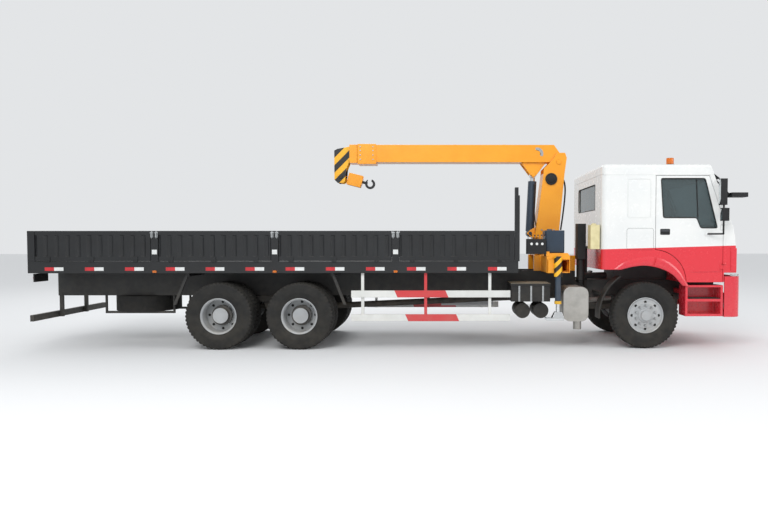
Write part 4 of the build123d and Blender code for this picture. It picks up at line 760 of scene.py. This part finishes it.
def fluted_board(low, high, along, out_axis, outward, finish=0):
    """Closed loop of points round the board's thickness, repeated along its length."""
    span = high[along] - low[along]
    columns = int(span / FLUTE_PITCH * 12)
    run = np.linspace(low[along], high[along], columns)
    height = np.concatenate([[0, 0.004], np.linspace(0.012, 0.125, 3), np.linspace(0.14, 0.155, 4),
                             np.linspace(0.3, 0.72, 3), np.linspace(0.845, 0.86, 4),
                             np.linspace(0.875, 0.99, 3), [1.0]])
    z = low[2] + (high[2] - low[2]) * height
    window = np.clip((height - 0.14) / 0.02, 0, 1) * np.clip((0.86 - height) / 0.02, 0, 1)
    wave = 0.5 + 0.5 * np.cos(2 * math.pi * (run - low[along]) / FLUTE_PITCH)
    wave = np.clip((wave - 0.62) / 0.3, 0, 1)
    near, far = (high[out_axis], low[out_axis]) if outward > 0 else (low[out_axis], high[out_axis])
    outer = near - outward * FLUTE_DEPTH * wave[:, None] * window[None]
    inner = far + outward * 0.006 + 0 * outer
    loop_out = np.concatenate([outer, inner[:, ::-1]], axis=1)
    loop_z = np.concatenate([z, z[::-1]])[None] + 0 * loop_out
    points = np.empty((*loop_out.shape, 3))
    points[..., along] = run[:, None]
    points[..., out_axis], points[..., 2] = loop_out, loop_z
    middle = points.mean(axis=1, keepdims=True)[[0, -1]] + 0 * points[[0, -1]]
    return grid(np.concatenate([middle[:1], points, middle[1:]]), wrap_columns=True, finish=finish)


BOARD_OUT, BOARD_T, BOARD_Z = 1.225, 0.045, (1.488, 1.990)
PIN_OUT, PIN_Z = 1.240, 1.480
HINGE_SHARES = (0.12, 0.5, 0.88)
HINGE_Z, HINGE_HALF, PIN_R, PIN_SIDES = (1.482, 1.56), 0.020, 0.009, 14
GATE_HINGE_Y, GATE_HINGE_HALF = (-0.8, 0.0, 0.8), 0.03
for side, side_name in SIDE_NAMES.items():
    for number in range(1, 5):
        name = f"side_board_{side_name}_{number}"
        low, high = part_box(name)
        start, end = low[0], high[0]
        near, far = sorted((side * BOARD_OUT, side * (BOARD_OUT - BOARD_T)))
        parts = [fluted_board(np.array([start, near, BOARD_Z[0]]), np.array([end, far, BOARD_Z[1]]), 0, 1,
                              side)]
        for share in HINGE_SHARES:
            x = start + (end - start) * share
            parts.append(plate((x - HINGE_HALF, side * 1.222, HINGE_Z[0]),
                               (x + HINGE_HALF, side * 1.236, HINGE_Z[1])))
            parts.append(tube([(x - HINGE_HALF, side * PIN_OUT, PIN_Z),
                               (x + HINGE_HALF, side * PIN_OUT, PIN_Z)], PIN_R, PIN_SIDES))
        build(name + "_fluted", parts, [bed_enamel], name, width_mm=1.5, stands_for=(name,))
low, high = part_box("tailgate")
half = high[1]
gate_x = at(-10.330, 0, 0)[0]
parts = [fluted_board(np.array([gate_x, -half, BOARD_Z[0]]),
                      np.array([gate_x + BOARD_T, half, BOARD_Z[1]]), 1, 0, -1)]
for y in GATE_HINGE_Y:
    parts.append(plate((gate_x - 0.011, y - GATE_HINGE_HALF, HINGE_Z[0]),
                       (gate_x + 0.003, y + GATE_HINGE_HALF, HINGE_Z[1])))
    parts.append(tube([(gate_x - 0.015, y - GATE_HINGE_HALF, PIN_Z),
                       (gate_x - 0.015, y + GATE_HINGE_HALF, PIN_Z)], PIN_R, PIN_SIDES))
build("tailgate_fluted", parts, [bed_enamel], "tailgate", width_mm=1.5,
      stands_for=("tailgate",))
print("boards done")

# %% [markdown]
# Each post carries an over-centre latch for the two boards beside it, and a pale reflector plate.
# The rail below carries red and white conspicuity tape, three lengths to a bay, with a small amber
# marker lamp between bays.

# %% Latches, reflectors, tape and lamps on the bed
POSTS = [-8.222, -6.225, -4.211]
TAPE_Z, TAPE_HALF = (1.326, 1.384), 0.155
TAPE_BAYS = [(-10.15, -8.30), (-8.14, -6.30), (-6.15, -4.29), (-4.13, -2.25)]


def latch(x, side):
    """Handle, pivot plate and hook of one board latch at the top of a post."""
    plate_y = side * (BOARD_OUT + 0.001)
    handle = tube(smooth_line([(x, side * 1.232, 1.985), (x, side * 1.245, 1.95),
                               (x + 0.004, side * 1.243, 1.90),
                               (x, side * 1.236, 1.865)], 6), 0.007, 8)
    return [plate((x - 0.022, plate_y, 1.88), (x + 0.022, side * (BOARD_OUT + 0.007), 1.975)), handle,
            tube([(x - 0.03, side * 1.234, 1.955), (x + 0.03, side * 1.234, 1.955)], 0.008, 10)]


for side, side_name in SIDE_NAMES.items():
    latches, tapes, plates, lamps = [], [], [], []
    for post in POSTS:
        for shift in (-0.038, 0.038):
            latches += latch(at(post + shift, 0, 0)[0], side)
        x = at(post, 0, 0)[0]
        plates.append(plate((x - 0.042, side * 1.2245, 1.60), (x + 0.042, side * 1.2290, 1.676)))
        lamps.append(prism(round_corners([(x - 0.032, 1.292), (x + 0.032, 1.292), (x + 0.032, 1.330),
                                          (x - 0.032, 1.330)], 0.010),
                           side * 1.2245, side * 1.243))
    for start, end in TAPE_BAYS:
        for share in (0.14, 0.5, 0.86):
            x = at(start + (end - start) * share, 0, 0)[0]
            for half, colour in ((-TAPE_HALF, 1), (TAPE_HALF, 0)):
                tapes.append(plate((x, side * 1.2245, TAPE_Z[0]), (x + half, side * 1.2258, TAPE_Z[1]),
                                   colour))
    build(f"board_latches_{side_name}", latches, [zinc_steel], "root", 1.0)
    build(f"conspicuity_tape_{side_name}", tapes, [reflector_white, reflector_red], "root")
    build(f"post_reflectors_{side_name}", plates, [reflector_white], "root", 1.0)
    build(f"marker_lamps_{side_name}", lamps, [amber_lens], "root", 2.0)
print("bed details done")

# %% [markdown]
# The tail lamps hang in a row below the bed's rear beam, red outside and amber inside, beside a
# blank number plate. A folded bracket and a cable hold each cluster.

# %% Tail lamps
tail = at(-10.345, 0, 0)[0]
lamp_parts = []
for side in (RIGHT, LEFT):
    for number, (y, colour) in enumerate(((1.02, 0), (0.90, 1), (0.78, 0))):
        disc = [(0, 0.030), (0.030, 0.029), (0.044, 0.024), (0.048, 0.012), (0.048, 0.0), (0, 0.0)]
        r, out = np.array(disc).T
        turn = np.linspace(0, 2 * math.pi, 40, endpoint=False)[:, None]
        points = np.stack([tail + 0.026 - out[None] + 0 * turn, side * y + r[None] * np.cos(turn),
                           1.20 + r[None] * np.sin(turn)], axis=-1)
        lamp_parts.append(grid(points, wrap_rows=True, finish=colour))
    lamp_parts.append(plate((tail + 0.022, side * 0.70, 1.13), (tail + 0.044, side * 1.09, 1.27), 2))
    lamp_parts.append(plate((tail + 0.030, side * 0.86, 1.25), (tail + 0.038, side * 0.94, 1.30), 2))
lamp_parts.append(plate((tail + 0.008, -0.22, 1.17), (tail + 0.014, 0.22, 1.28), 3))
lamp_parts.append(plate((tail + 0.010, -0.10, 1.26), (tail + 0.020, 0.10, 1.30), 2))
build("tail_lamps", lamp_parts, [red_lens, amber_lens, black_plastic, reflector_white], "root",
      1.0)
print("tail lamps done")

# %% [markdown]
# ## Cab
# The cab is pressed steel in white over red. Its doors carry moulded black mirrors, so faces that
# stand outside the door skin get the plastic. The roof carries an amber beacon and a dark sun visor.

# %% Doors, roof and glass
DOOR_SKIN = 1.238


def mirror_faces(centres):
    return (np.abs(centres[:, 1]) > DOOR_SKIN) & (centres[:, 2] > 1.9)


def roof_faces(centres):
    """0 white roof, 1 amber lens, 2 black base, visor and mirror."""
    beacon = (centres[:, 2] > 3.133) & (centres[:, 0] < AXLE + 0.8)
    black = ((centres[:, 2] > 3.101) & ~beacon) | (centres[:, 0] > AXLE + 1.14) | (
        (centres[:, 0] > AXLE + 1.052) & (np.abs(centres[:, 1]) < 1.001) & (centres[:, 2] > 2.86))
    return np.where(beacon, 1, np.where(black, 2, 0))


for side_name in SIDE_NAMES.values():
    soften(f"door_{side_name}", [cab_enamel, black_plastic], 4.0, mirror_faces)
    soften(f"door_glass_{side_name}", [window_glass], 1.0)
soften("cab_roof", [white_enamel, amber_lens, black_plastic], 4.0, roof_faces)
soften("cab_glass", [window_glass], 1.0)

# %% [markdown]
# Rubber seals frame every pane. A seal is a thin round bar carried along the pane's rounded
# outline, standing half out of the skin.

# %% Window seals
SKIN, REAR_FACE = 1.2185, AXLE - 0.764
DOOR_PANE = [(0.219, 2.860), (0.955, 2.860), (1.168, 2.035), (0.890, 2.035), (0.820, 2.206), (0.262, 2.206)]
SCREEN_FOOT, SCREEN_HEAD = np.array([1.440, 2.050]), np.array([1.105, 2.932])
SCREEN_SPAN = (2.110, 2.860)
SCREEN_HALF = 1.090


def on_screen(z):
    """X on the windscreen's outer face at a height."""
    share = (z - SCREEN_FOOT[1]) / (SCREEN_HEAD[1] - SCREEN_FOOT[1])
    return AXLE + SCREEN_FOOT[0] + share * (SCREEN_HEAD[0] - SCREEN_FOOT[0])


def seal(name, outline, body, radius=0.009):
    build(name, [tube(outline, radius, 8, closed=True)], [seal_rubber], body)


for side, side_name in SIDE_NAMES.items():
    pane = round_corners(DOOR_PANE, 0.035) + (AXLE, 0)
    seal(f"door_window_seal_{side_name}", stand_up(pane, side * SKIN), f"door_{side_name}")
    pillar = [(AXLE + 0.845, side * 1.1965, 2.21), (AXLE + 0.815, side * 1.1965, 2.84)]
    build(f"quarter_light_bar_{side_name}", [tube(pillar, 0.011, 8)], [seal_rubber],
          f"door_{side_name}")
screen = round_corners([(-SCREEN_HALF, SCREEN_SPAN[0]), (SCREEN_HALF, SCREEN_SPAN[0]),
                        (SCREEN_HALF, SCREEN_SPAN[1]),
                        (-SCREEN_HALF, SCREEN_SPAN[1])], 0.06)
seal("windscreen_seal", np.column_stack([on_screen(screen[:, 1]), screen]), "cab", 0.012)
rear = round_corners([(-0.70, 2.36), (0.70, 2.36), (0.70, 2.80), (-0.70, 2.80)], 0.05)
seal("rear_window_seal", np.column_stack([np.full(len(rear), REAR_FACE + 0.0035), rear]), "cab", 0.008)
print("seals done")

# %% [markdown]
# Pressed grooves and a rain gutter break up the cab's side. The wheel arch has a thick red flare,
# drawn as a curved band between two arcs. The door has a recessed black handle.

# %% Pressings, gutter, flares and handles
FLARE_OUTER = [(-0.565, 1.346), (-0.34, 1.485), (0.0, 1.555), (0.30, 1.495), (0.53, 1.32), (0.697, 1.065)]
FLARE_INNER = [(-0.431, 1.337), (-0.24, 1.388), (0.0, 1.408), (0.22, 1.365), (0.43, 1.25), (0.600, 1.065)]


def flare_part(side, low, high):
    """Band between two arcs, crowned outwards by a half sine, closed at the back."""
    outer, inner = (smooth_line(arc, 8) for arc in (FLARE_OUTER, FLARE_INNER))
    keep = (outer[:, 0] >= low) & (outer[:, 0] <= high)
    outer, inner = outer[keep], inner[keep]
    share = np.linspace(0, 1, 9)[None, :, None]
    flat = outer[:, None] * (1 - share) + inner[:, None] * share
    bulge = 0.003 + 0.016 * np.sin(math.pi * share[..., 0]) ** 0.7 + 0 * flat[..., 0]
    front = np.stack([AXLE + flat[..., 0], side * (1.2205 + bulge), flat[..., 1]], axis=-1)
    back = front[:, ::-1].copy()
    back[..., 1] = side * 1.2105
    loop = np.concatenate([front, back], axis=1)
    middle = loop.mean(axis=1, keepdims=True)[[0, -1]] + 0 * loop[[0, -1]]
    return grid(np.concatenate([middle[:1], loop, middle[1:]]), wrap_columns=True)


def groove_line(outline, y, radius=0.0028):
    return tube(stand_up(round_corners(outline, 0.045) + (AXLE, 0), y), radius, 6, closed=True)


for side, side_name in SIDE_NAMES.items():
    y = side * 1.2203
    grooves = [groove_line([(-0.339, 2.205), (0.053, 2.205), (0.053, 2.853), (-0.339, 2.853)], y, 0.0045),
               groove_line([(-0.327, 2.217), (0.041, 2.217), (0.041, 2.841), (-0.327, 2.841)], y, 0.003)]
    build(f"sleeper_pressing_{side_name}", grooves, [white_enamel], "cab")
    flap = groove_line([(-0.347, 1.671), (0.101, 1.671), (0.101, 2.030), (-0.347, 2.030)], side * 1.2195,
                       0.0022)
    build(f"locker_flap_gap_{side_name}", [flap], [seal_rubber], "cab")
    gutter = prism([(AXLE - 0.74, 2.918), (AXLE + 1.08, 2.918), (AXLE + 1.07, 2.946), (AXLE - 0.74, 2.946)],
                   side * 1.214, side * 1.2245)
    build(f"rain_gutter_{side_name}", [gutter], [white_enamel], "cab", 3.0)
    build(f"arch_flare_{side_name}", [flare_part(side, -9, 0.134)], [red_enamel], "cab",
          angle=50)
    build(f"door_flare_{side_name}", [flare_part(side, 0.142, 9)], [red_enamel],
          f"door_{side_name}", angle=50)
    cup = prism(round_corners([(AXLE + 0.210, 1.92), (AXLE + 0.375, 1.92), (AXLE + 0.375, 2.02),
                               (AXLE + 0.210, 2.02)], 0.018),
                side * 1.2185, side * 1.2225)
    pull = prism(round_corners([(AXLE + 0.222, 1.975), (AXLE + 0.363, 1.975), (AXLE + 0.363, 2.008),
                                (AXLE + 0.222, 2.008)], 0.008),
                 side * 1.2215, side * 1.2255, finish=1)
    build(f"door_handle_{side_name}", [cup, pull], [black_plastic, dash_plastic],
          f"door_{side_name}", 1.5)
    crease = prism([(AXLE + 0.73, 1.288), (AXLE + 1.26, 1.300), (AXLE + 1.26, 1.318), (AXLE + 0.73, 1.302)],
                   side * 1.2185, side * 1.2255)
    build(f"door_crease_{side_name}", [crease], [red_enamel], f"door_{side_name}", 4.0)
    step_rubber = [plate((AXLE + 0.70, side * 0.96, z),
                         (AXLE + 1.24, side * 1.208, z + 0.006)) for z in (0.577, 0.850)]
    ribs = [repeat(plate((AXLE + 0.70, side * 0.98, z + 0.005), (AXLE + 1.24, side * 0.988, z + 0.009)),
                   [(0, side * i * 0.04, 0) for i in range(6)]) for z in (0.577, 0.850)]
    build(f"step_treads_{side_name}", step_rubber + ribs, [black_plastic], "root", 0.8)
print("cab sides done")

# %% [markdown]
# The front is made of a dark louvred grille, wipers, corner deflectors, round-cornered headlamps
# in the bumper and a row of roof and bumper lamps. A blank plate fills the number-plate place.

# %% Cab front
NOSE = AXLE + 1.500
SLAT_Z, SLAT_PITCH, SLAT_HALF = (1.44, 1.93), 0.082, 0.93
WIPER_Y, LAMP_Y = (-0.62, 0.0, 0.62), (0.86, 1.02)
slats = []
for z in np.arange(*SLAT_Z, SLAT_PITCH):
    flat = np.array([(NOSE - 0.004, z), (NOSE + 0.006, z + 0.006), (NOSE + 0.007, z + 0.052),
                     (NOSE - 0.004, z + 0.060)])
    slats.append(prism(flat, -SLAT_HALF, SLAT_HALF))
build("front_grille_slats", slats, [black_plastic], "cab", 3.0)
badge_bar = prism([(NOSE - 0.004, 1.955), (NOSE + 0.008, 1.958), (NOSE + 0.008, 1.972),
                   (NOSE - 0.004, 1.975)], -0.80, 0.80)
build("front_trim_bar", [badge_bar], [zinc_steel], "cab", 2.0)
wipers = []
for y in WIPER_Y:
    foot = (on_screen(2.07) + 0.012, y, 2.07)
    tip = (on_screen(2.30) + 0.022, y + 0.36, 2.30)
    wipers.append(tube([foot, tip], 0.007, 8))
    wipers.append(tube([(on_screen(2.14) + 0.016, y + 0.22, 2.14),
                        (on_screen(2.52) + 0.016, y + 0.44, 2.52)], 0.006, 8))
build("wipers", wipers, [black_plastic], "cab")
BUMPER = AXLE + 1.596
for side, side_name in SIDE_NAMES.items():
    lamp = round_corners([(side * 0.78, 0.938), (side * 1.10, 0.938), (side * 1.10, 1.163),
                          (side * 0.78, 1.163)], 0.04)
    flat = np.column_stack([np.zeros(len(lamp)), lamp])
    bezel = grid(np.array([flat * 0 + flat.mean(0) + (BUMPER - 0.012, 0, 0), flat + (BUMPER - 0.012, 0, 0),
                           flat + (BUMPER - 0.001, 0, 0),
                           flat * 0 + flat.mean(0) + (BUMPER - 0.001, 0, 0)]), wrap_columns=True,
                           finish=1)
    bulbs = [repeat((part[0][:, [1, 0, 2]], part[1], 0), [(0, 0, 0)]) for part in
             [turned([(0, 0.0), (0.085, 0.0), (0.085, 0.002), (0.07, 0.0035), (0, 0.0045)],
                     (side * y, BUMPER - 0.0045, 1.05), 1, 40)
              for y in LAMP_Y]]
    build(f"headlamp_{side_name}", [bezel, *bulbs], [clear_lens, black_plastic], "root", 1.0)
    corner = prism([(AXLE + 1.398, 1.312), (AXLE + 1.495, 1.312), (AXLE + 1.497, 1.70),
                    (AXLE + 1.398, 1.712)], side * 1.200, side * 1.232)
    build(f"corner_deflector_{side_name}", [corner], [red_enamel], "cab", 12.0, segments=4)
    marker = prism([(AXLE + 1.42, 1.225), (AXLE + 1.535, 1.225), (AXLE + 1.54, 1.262),
                    (AXLE + 1.42, 1.262)], side * 1.15, side * 1.212)
    build(f"corner_indicator_{side_name}", [marker], [clear_lens], "root", 4.0)
build("front_plate", [plate((BUMPER - 0.002, -0.24, 0.76), (BUMPER, 0.24, 0.87))], [reflector_white],
      "root")
print("cab front done")

# %% [markdown]
# A mirror head is a rounded plastic shell with silvered glass on the face that looks back.

# %% Mirror glass
for side, side_name in SIDE_NAMES.items():
    y = sorted((side * 1.338, side * 1.417))
    panes = [plate((AXLE + 1.1342, y[0], 2.43), (AXLE + 1.1352, y[1], 2.825)),
             plate((AXLE + 1.1642, y[0], 2.165), (AXLE + 1.1652, y[1], 2.345))]
    build(f"mirror_glass_{side_name}", panes, [mirror_silver], f"door_{side_name}")

# %% [markdown]
# The expansion tank behind the cab is cloudy yellowed plastic with a ribbed cap, next to the dark
# intake stack, so faces of that construction piece take one of two finishes by their place.

# %% Intake, coolant tank and battery box
def tank_faces(centres):
    """0 black intake, 1 cloudy tank behind the cab."""
    return np.where((centres[:, 1] < TANK_INNER_Y) & (centres[:, 2] > TANK_FOOT), 1, 0)


def lid_faces(centres):
    return np.where((centres[:, 2] > 1.085) & (centres[:, 0] < AXLE - 1.5), 1, 0)


TANK_INNER_Y, TANK_FOOT = -0.955, 1.67
soften("intake_and_coolant_tank", [black_plastic, tank_plastic], 8.0, tank_faces)
soften("battery_box", [black_plastic, dusty_lid], 5.0, lid_faces)
box_low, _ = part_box("battery_box")
straps = [plate((AXLE + x, box_low[1] + 0.001, 0.80),
                (AXLE + x + 0.030, box_low[1] + 0.004, 1.10)) for x in (-2.15, -1.95, -1.75)]
build("battery_straps", straps, [zinc_steel], "root", 0.8)
print("behind the cab done")

# %% [markdown]
# ## Crane
# The jacks wear hazard stripes on their sleeves and bright chrome below. The crane base is orange,
# but its lever box is black. Colours are chosen by where each face is.

# %% Crane base, jacks and booms
def base_faces(centres):
    """0 orange, 1 black lever box."""
    levers = (centres[:, 0] < AXLE - 1.672) & (centres[:, 1] < -1.005) & (centres[:, 2] > 1.555)
    return np.where(levers, 1, 0)


def beam_faces(centres):
    """Sleeve and barrel round the jack: stripes above, slate below, yellow ring at the end."""
    near = np.hypot(centres[:, 0] - (AXLE - 1.487), np.abs(centres[:, 1]) - 1.178) < 0.075
    return np.where(near & (centres[:, 2] > 1.215), 1,
                    np.where(near & (centres[:, 2] < 0.812), 3, np.where(near, 2, 0)))


soften("crane_base", [crane_enamel, black_plastic], 4.0, base_faces)
for side_name in SIDE_NAMES.values():
    soften(f"outrigger_beam_{side_name}", [crane_enamel, jack_enamel, slate_enamel, yellow_enamel],
           3.0, beam_faces)

# %% [markdown]
# Hydraulic hoses are rubber round steel braid, so they bend in wide even curves. Each is a smooth
# curve through a few clamp places, and each ends clear of the boom at its highest.

# %% Hoses
def hose(name, places, radius, body, finish=None):
    line = smooth_line([at(*place) for place in places], 8)
    build(name, [tube(line, radius, 10)], [finish or hose_rubber], body)


for number, y in enumerate((-0.15, -0.11)):
    hose(f"column_hose_{number}", [(-1.262, y, 2.02), (-1.225, y, 2.28), (-1.190, y, 2.60),
                                   (-1.185, y, 2.80),
                                   (-1.215, y, 2.93), (-1.270, y, 2.97)], 0.011, "column")
hose("luff_hose", [(-1.70, -0.085, 2.06), (-1.735, -0.105, 2.25), (-1.745, -0.106, 2.6),
                   (-1.747, -0.10, 2.86)], 0.009, "luff_barrel")
hose("lever_hose_upper", [(-1.66, -0.72, 1.63), (-1.72, -0.80, 1.70), (-1.76, -0.92, 1.72),
                          (-1.78, -1.02, 1.70)], 0.012, "root")
hose("lever_hose_lower", [(-1.66, -0.66, 1.615), (-1.74, -0.76, 1.62), (-1.80, -0.90, 1.64),
                          (-1.82, -1.02, 1.64)], 0.012, "root")
print("hoses done")

# %% Cable reel, bolts and small brackets on the crane
reel = turned([(0, 0.0), (0.100, 0.0), (0.108, 0.006), (0.108, 0.020), (0.100, 0.026), (0.070, 0.026),
               (0.060, 0.034),
               (0.030, 0.036), (0, 0.036)], at(-1.451, -0.2005, 2.943), -1, 64)
build("boom_length_reel", [reel], [black_plastic], "column", 1.0)
for side in (RIGHT, LEFT):
    y = side * 0.2005
    bolt = turned([(0, 0), (0.016, 0), (0.016, 0.009), (0.012, 0.012), (0, 0.012)], at(0, y, 0), side, 6)
    places = [(-1.62, 0, 2.02), (-1.50, 0, 2.02), (-1.40, 0, 2.02), (-1.60, 0, 1.93), (-1.42, 0, 1.93)]
    build(f"column_bolts_{SIDE_NAMES[side]}", [repeat(bolt, places)], [zinc_steel], "column")
    bolt = turned([(0, 0), (0.012, 0), (0.012, 0.008), (0, 0.009)], at(0, side * 0.1742, 0), side, 6)
    places = [(-4.92, 0, z) for z in (3.30, 3.38, 3.46, 3.53)] + [(-4.69, 0, z) for z in (3.30, 3.38,
                                                                                          3.46, 3.53)]
    build(f"collar_bolts_{SIDE_NAMES[side]}", [repeat(bolt, places)], [zinc_steel], "boom")
print("crane details done")

# %% [markdown]
# Six spool-valve levers with round black knobs stand on each side of the control box. The boom has
# a lifting loop over each end, a winch drum showing through a slot in its tail, and its end stops.

# %% Levers, loops and winch drum
levers = []
for i in range(6):
    x = AXLE - 1.985 + i * 0.056
    levers.append(tube([(x, -1.100, 1.850), (x, -1.118, 1.905)], 0.005, 8))
    knob = turned([(0, -0.013), (0.008, -0.011), (0.0125, -0.004), (0.0125, 0.004), (0.008, 0.011),
                   (0, 0.013)],
                  (x, -1.1185, 1.915), 1, 16, finish=1)
    levers.append(knob)
build("control_levers", levers, [zinc_steel, black_plastic], "root")
gauges = [turned([(0, 0), (0.026, 0), (0.026, 0.004), (0.022, 0.005), (0, 0.0052)],
                 (AXLE - 1.93 + 0.09 * i, -1.1450, 1.77), -1, 32)
          for i in range(3)]
build("control_gauges", gauges, [reflector_white], "root")
loops = [tube(smooth_line([at(x - 0.05, y, 3.565), at(x - 0.035, y, 3.577), at(x + 0.035, y, 3.577),
                           at(x + 0.05, y, 3.565)], 5), 0.0028, 8)
         for x in (-4.3, -3.2, -2.3) for y in (-0.08, 0.08)]
build("boom_top_loops", loops, [crane_enamel], "boom")
for side, side_name in SIDE_NAMES.items():
    crescent = [(AXLE - 1.70 + 0.11 * math.cos(a), 3.41 + 0.11 * math.sin(a)) for a in np.linspace(-0.5,
                                                                                                   1.9,
                                                                                                   14)]
    crescent += [(AXLE - 1.72 + 0.08 * math.cos(a), 3.40 + 0.075 * math.sin(a)) for a in np.linspace(1.7,
                                                                                                     -0.4,
                                                                                                     12)]
    build(f"winch_drum_slot_{side_name}", [prism(crescent, side * 0.1595, side * 0.1612)], [zinc_steel],
          "boom")
print("levers and loops done")

# %% [markdown]
# ## Seats
# A cushion is foam in a sewn cover: full in the middle, pulled in along its seams. Its surface is a
# rounded box whose two angles are raised to powers: a small power squares the plan, a larger one
# crowns the top. Sewn channels press lines into the upper half, and a piped seam runs round it.

# %% Padded cushions
def padded_form(centre, half, lean=0.0, square=0.28, crown=0.55, channels=(), depth=0.006):
    """x, y, z = half * cos(u)^crown cos(v)^square, half * cos(u)^crown sin(v)^square, half * sin(u)^crown."""
    u = np.linspace(-math.pi / 2, math.pi / 2, 49)[:, None]
    v = np.linspace(0, 2 * math.pi, 96, endpoint=False)[None]

    def power(value, exponent):
        return np.sign(value) * np.abs(value) ** exponent

    across = power(np.cos(u), crown)
    x = half[0] * across * power(np.cos(v), square)
    y = half[1] * across * power(np.sin(v), square)
    z = half[2] * power(np.sin(u), crown) + 0 * v
    pressed = sum(np.exp(-((y - place) / 0.006) ** 2) for place in channels) if channels else 0 * x
    z = z - depth * pressed * (z > 0)
    turned_x = x * math.cos(lean) + z * math.sin(lean)
    turned_z = z * math.cos(lean) - x * math.sin(lean)
    points = np.stack([centre[0] + turned_x, centre[1] + y, centre[2] + turned_z], axis=-1)
    seam = points[24]
    return grid(points, wrap_columns=True), tube(seam + (seam - centre) * 0.004, 0.004, 6, finish=1,
                                                 closed=True)


def cushion(name, centre, half, lean=0.0, channels=(), cloth=seat_cloth, fill=0.85, **form):
    parts = padded_form(np.asarray(centre), half, lean, channels=channels, **form)
    piece = build(name, list(parts), [cloth, seal_rubber], "cab", angle=60)
    return piece


SEAT_Y, SEAT_CHANNELS = 0.640, (-0.11, 0.0, 0.11)
BACK_LEAN = math.radians(90) - math.atan2(2.325 - 1.695, 0.135 - 0.010)
frames = []
for side, side_name in SIDE_NAMES.items():
    y = side * SEAT_Y
    cushion(f"seat_cushion_{side_name}", at(0.360, y, 1.702), (0.260, 0.203, 0.058), channels=SEAT_CHANNELS)
    cushion(f"seat_back_{side_name}", at(0.0725, y, 2.010), (0.310, 0.203, 0.050),
            lean=math.radians(90) + BACK_LEAN, channels=SEAT_CHANNELS)
    cushion(f"head_rest_{side_name}", at(-0.010, y, 2.428), (0.094, 0.108, 0.036),
            lean=math.radians(90) + BACK_LEAN)
    frames += [plate(at(0.150, y - 0.17, 1.480), at(0.560, y + 0.17, 1.645)),
               tube([at(0.010, y - 0.045, 2.29), at(0.000, y - 0.045, 2.36)], 0.007, 8),
               tube([at(0.010, y + 0.045, 2.29), at(0.000, y + 0.045, 2.36)], 0.007, 8)]
    frames.append(plate(at(-0.710, side * 0.920, 1.480), at(-0.180, side * 1.000, 1.802)))
cushion("bunk_mattress", at(-0.445, 0, 1.866), (0.265, 1.050, 0.064), cloth=bunk_cloth, fill=0.9,
        square=0.16, crown=0.4)
build("seat_frames", frames, [black_plastic], "cab", 5.0, stands_for=("seats",))
print("seats done")

# %% [markdown]
# The hook block is painted steel with a dark forged hook below it. Faces up to a set distance along
# the block's own slanted axis are painted, and the rest is left dark.

# %% Hook block and boom head colours
HOOK_PIN, HOOK_TILT = (AXLE - 5.290, 3.000), math.radians(14)


def hook_faces(centres):
    along = (centres[:, 0] - HOOK_PIN[0]) * math.cos(HOOK_TILT) + (HOOK_PIN[1]
                                                                   - centres[:, 2]) * math.sin(HOOK_TILT)
    return np.where(along > 0.402, 1, 0)


def head_faces(centres):
    """0 striped plates, 1 zinc sheave and pins between them."""
    sheave = (np.hypot(centres[:, 0] - (AXLE - 5.330),
                       centres[:, 2] - 3.420) < 0.107) & (np.abs(centres[:, 1]) < 0.104)
    return np.where(sheave, 1, 0)


soften("hook_block", [crane_enamel, chassis_enamel], 5.0, hook_faces)
soften("boom_tip", [hazard_enamel, zinc_steel], 3.0, head_faces)
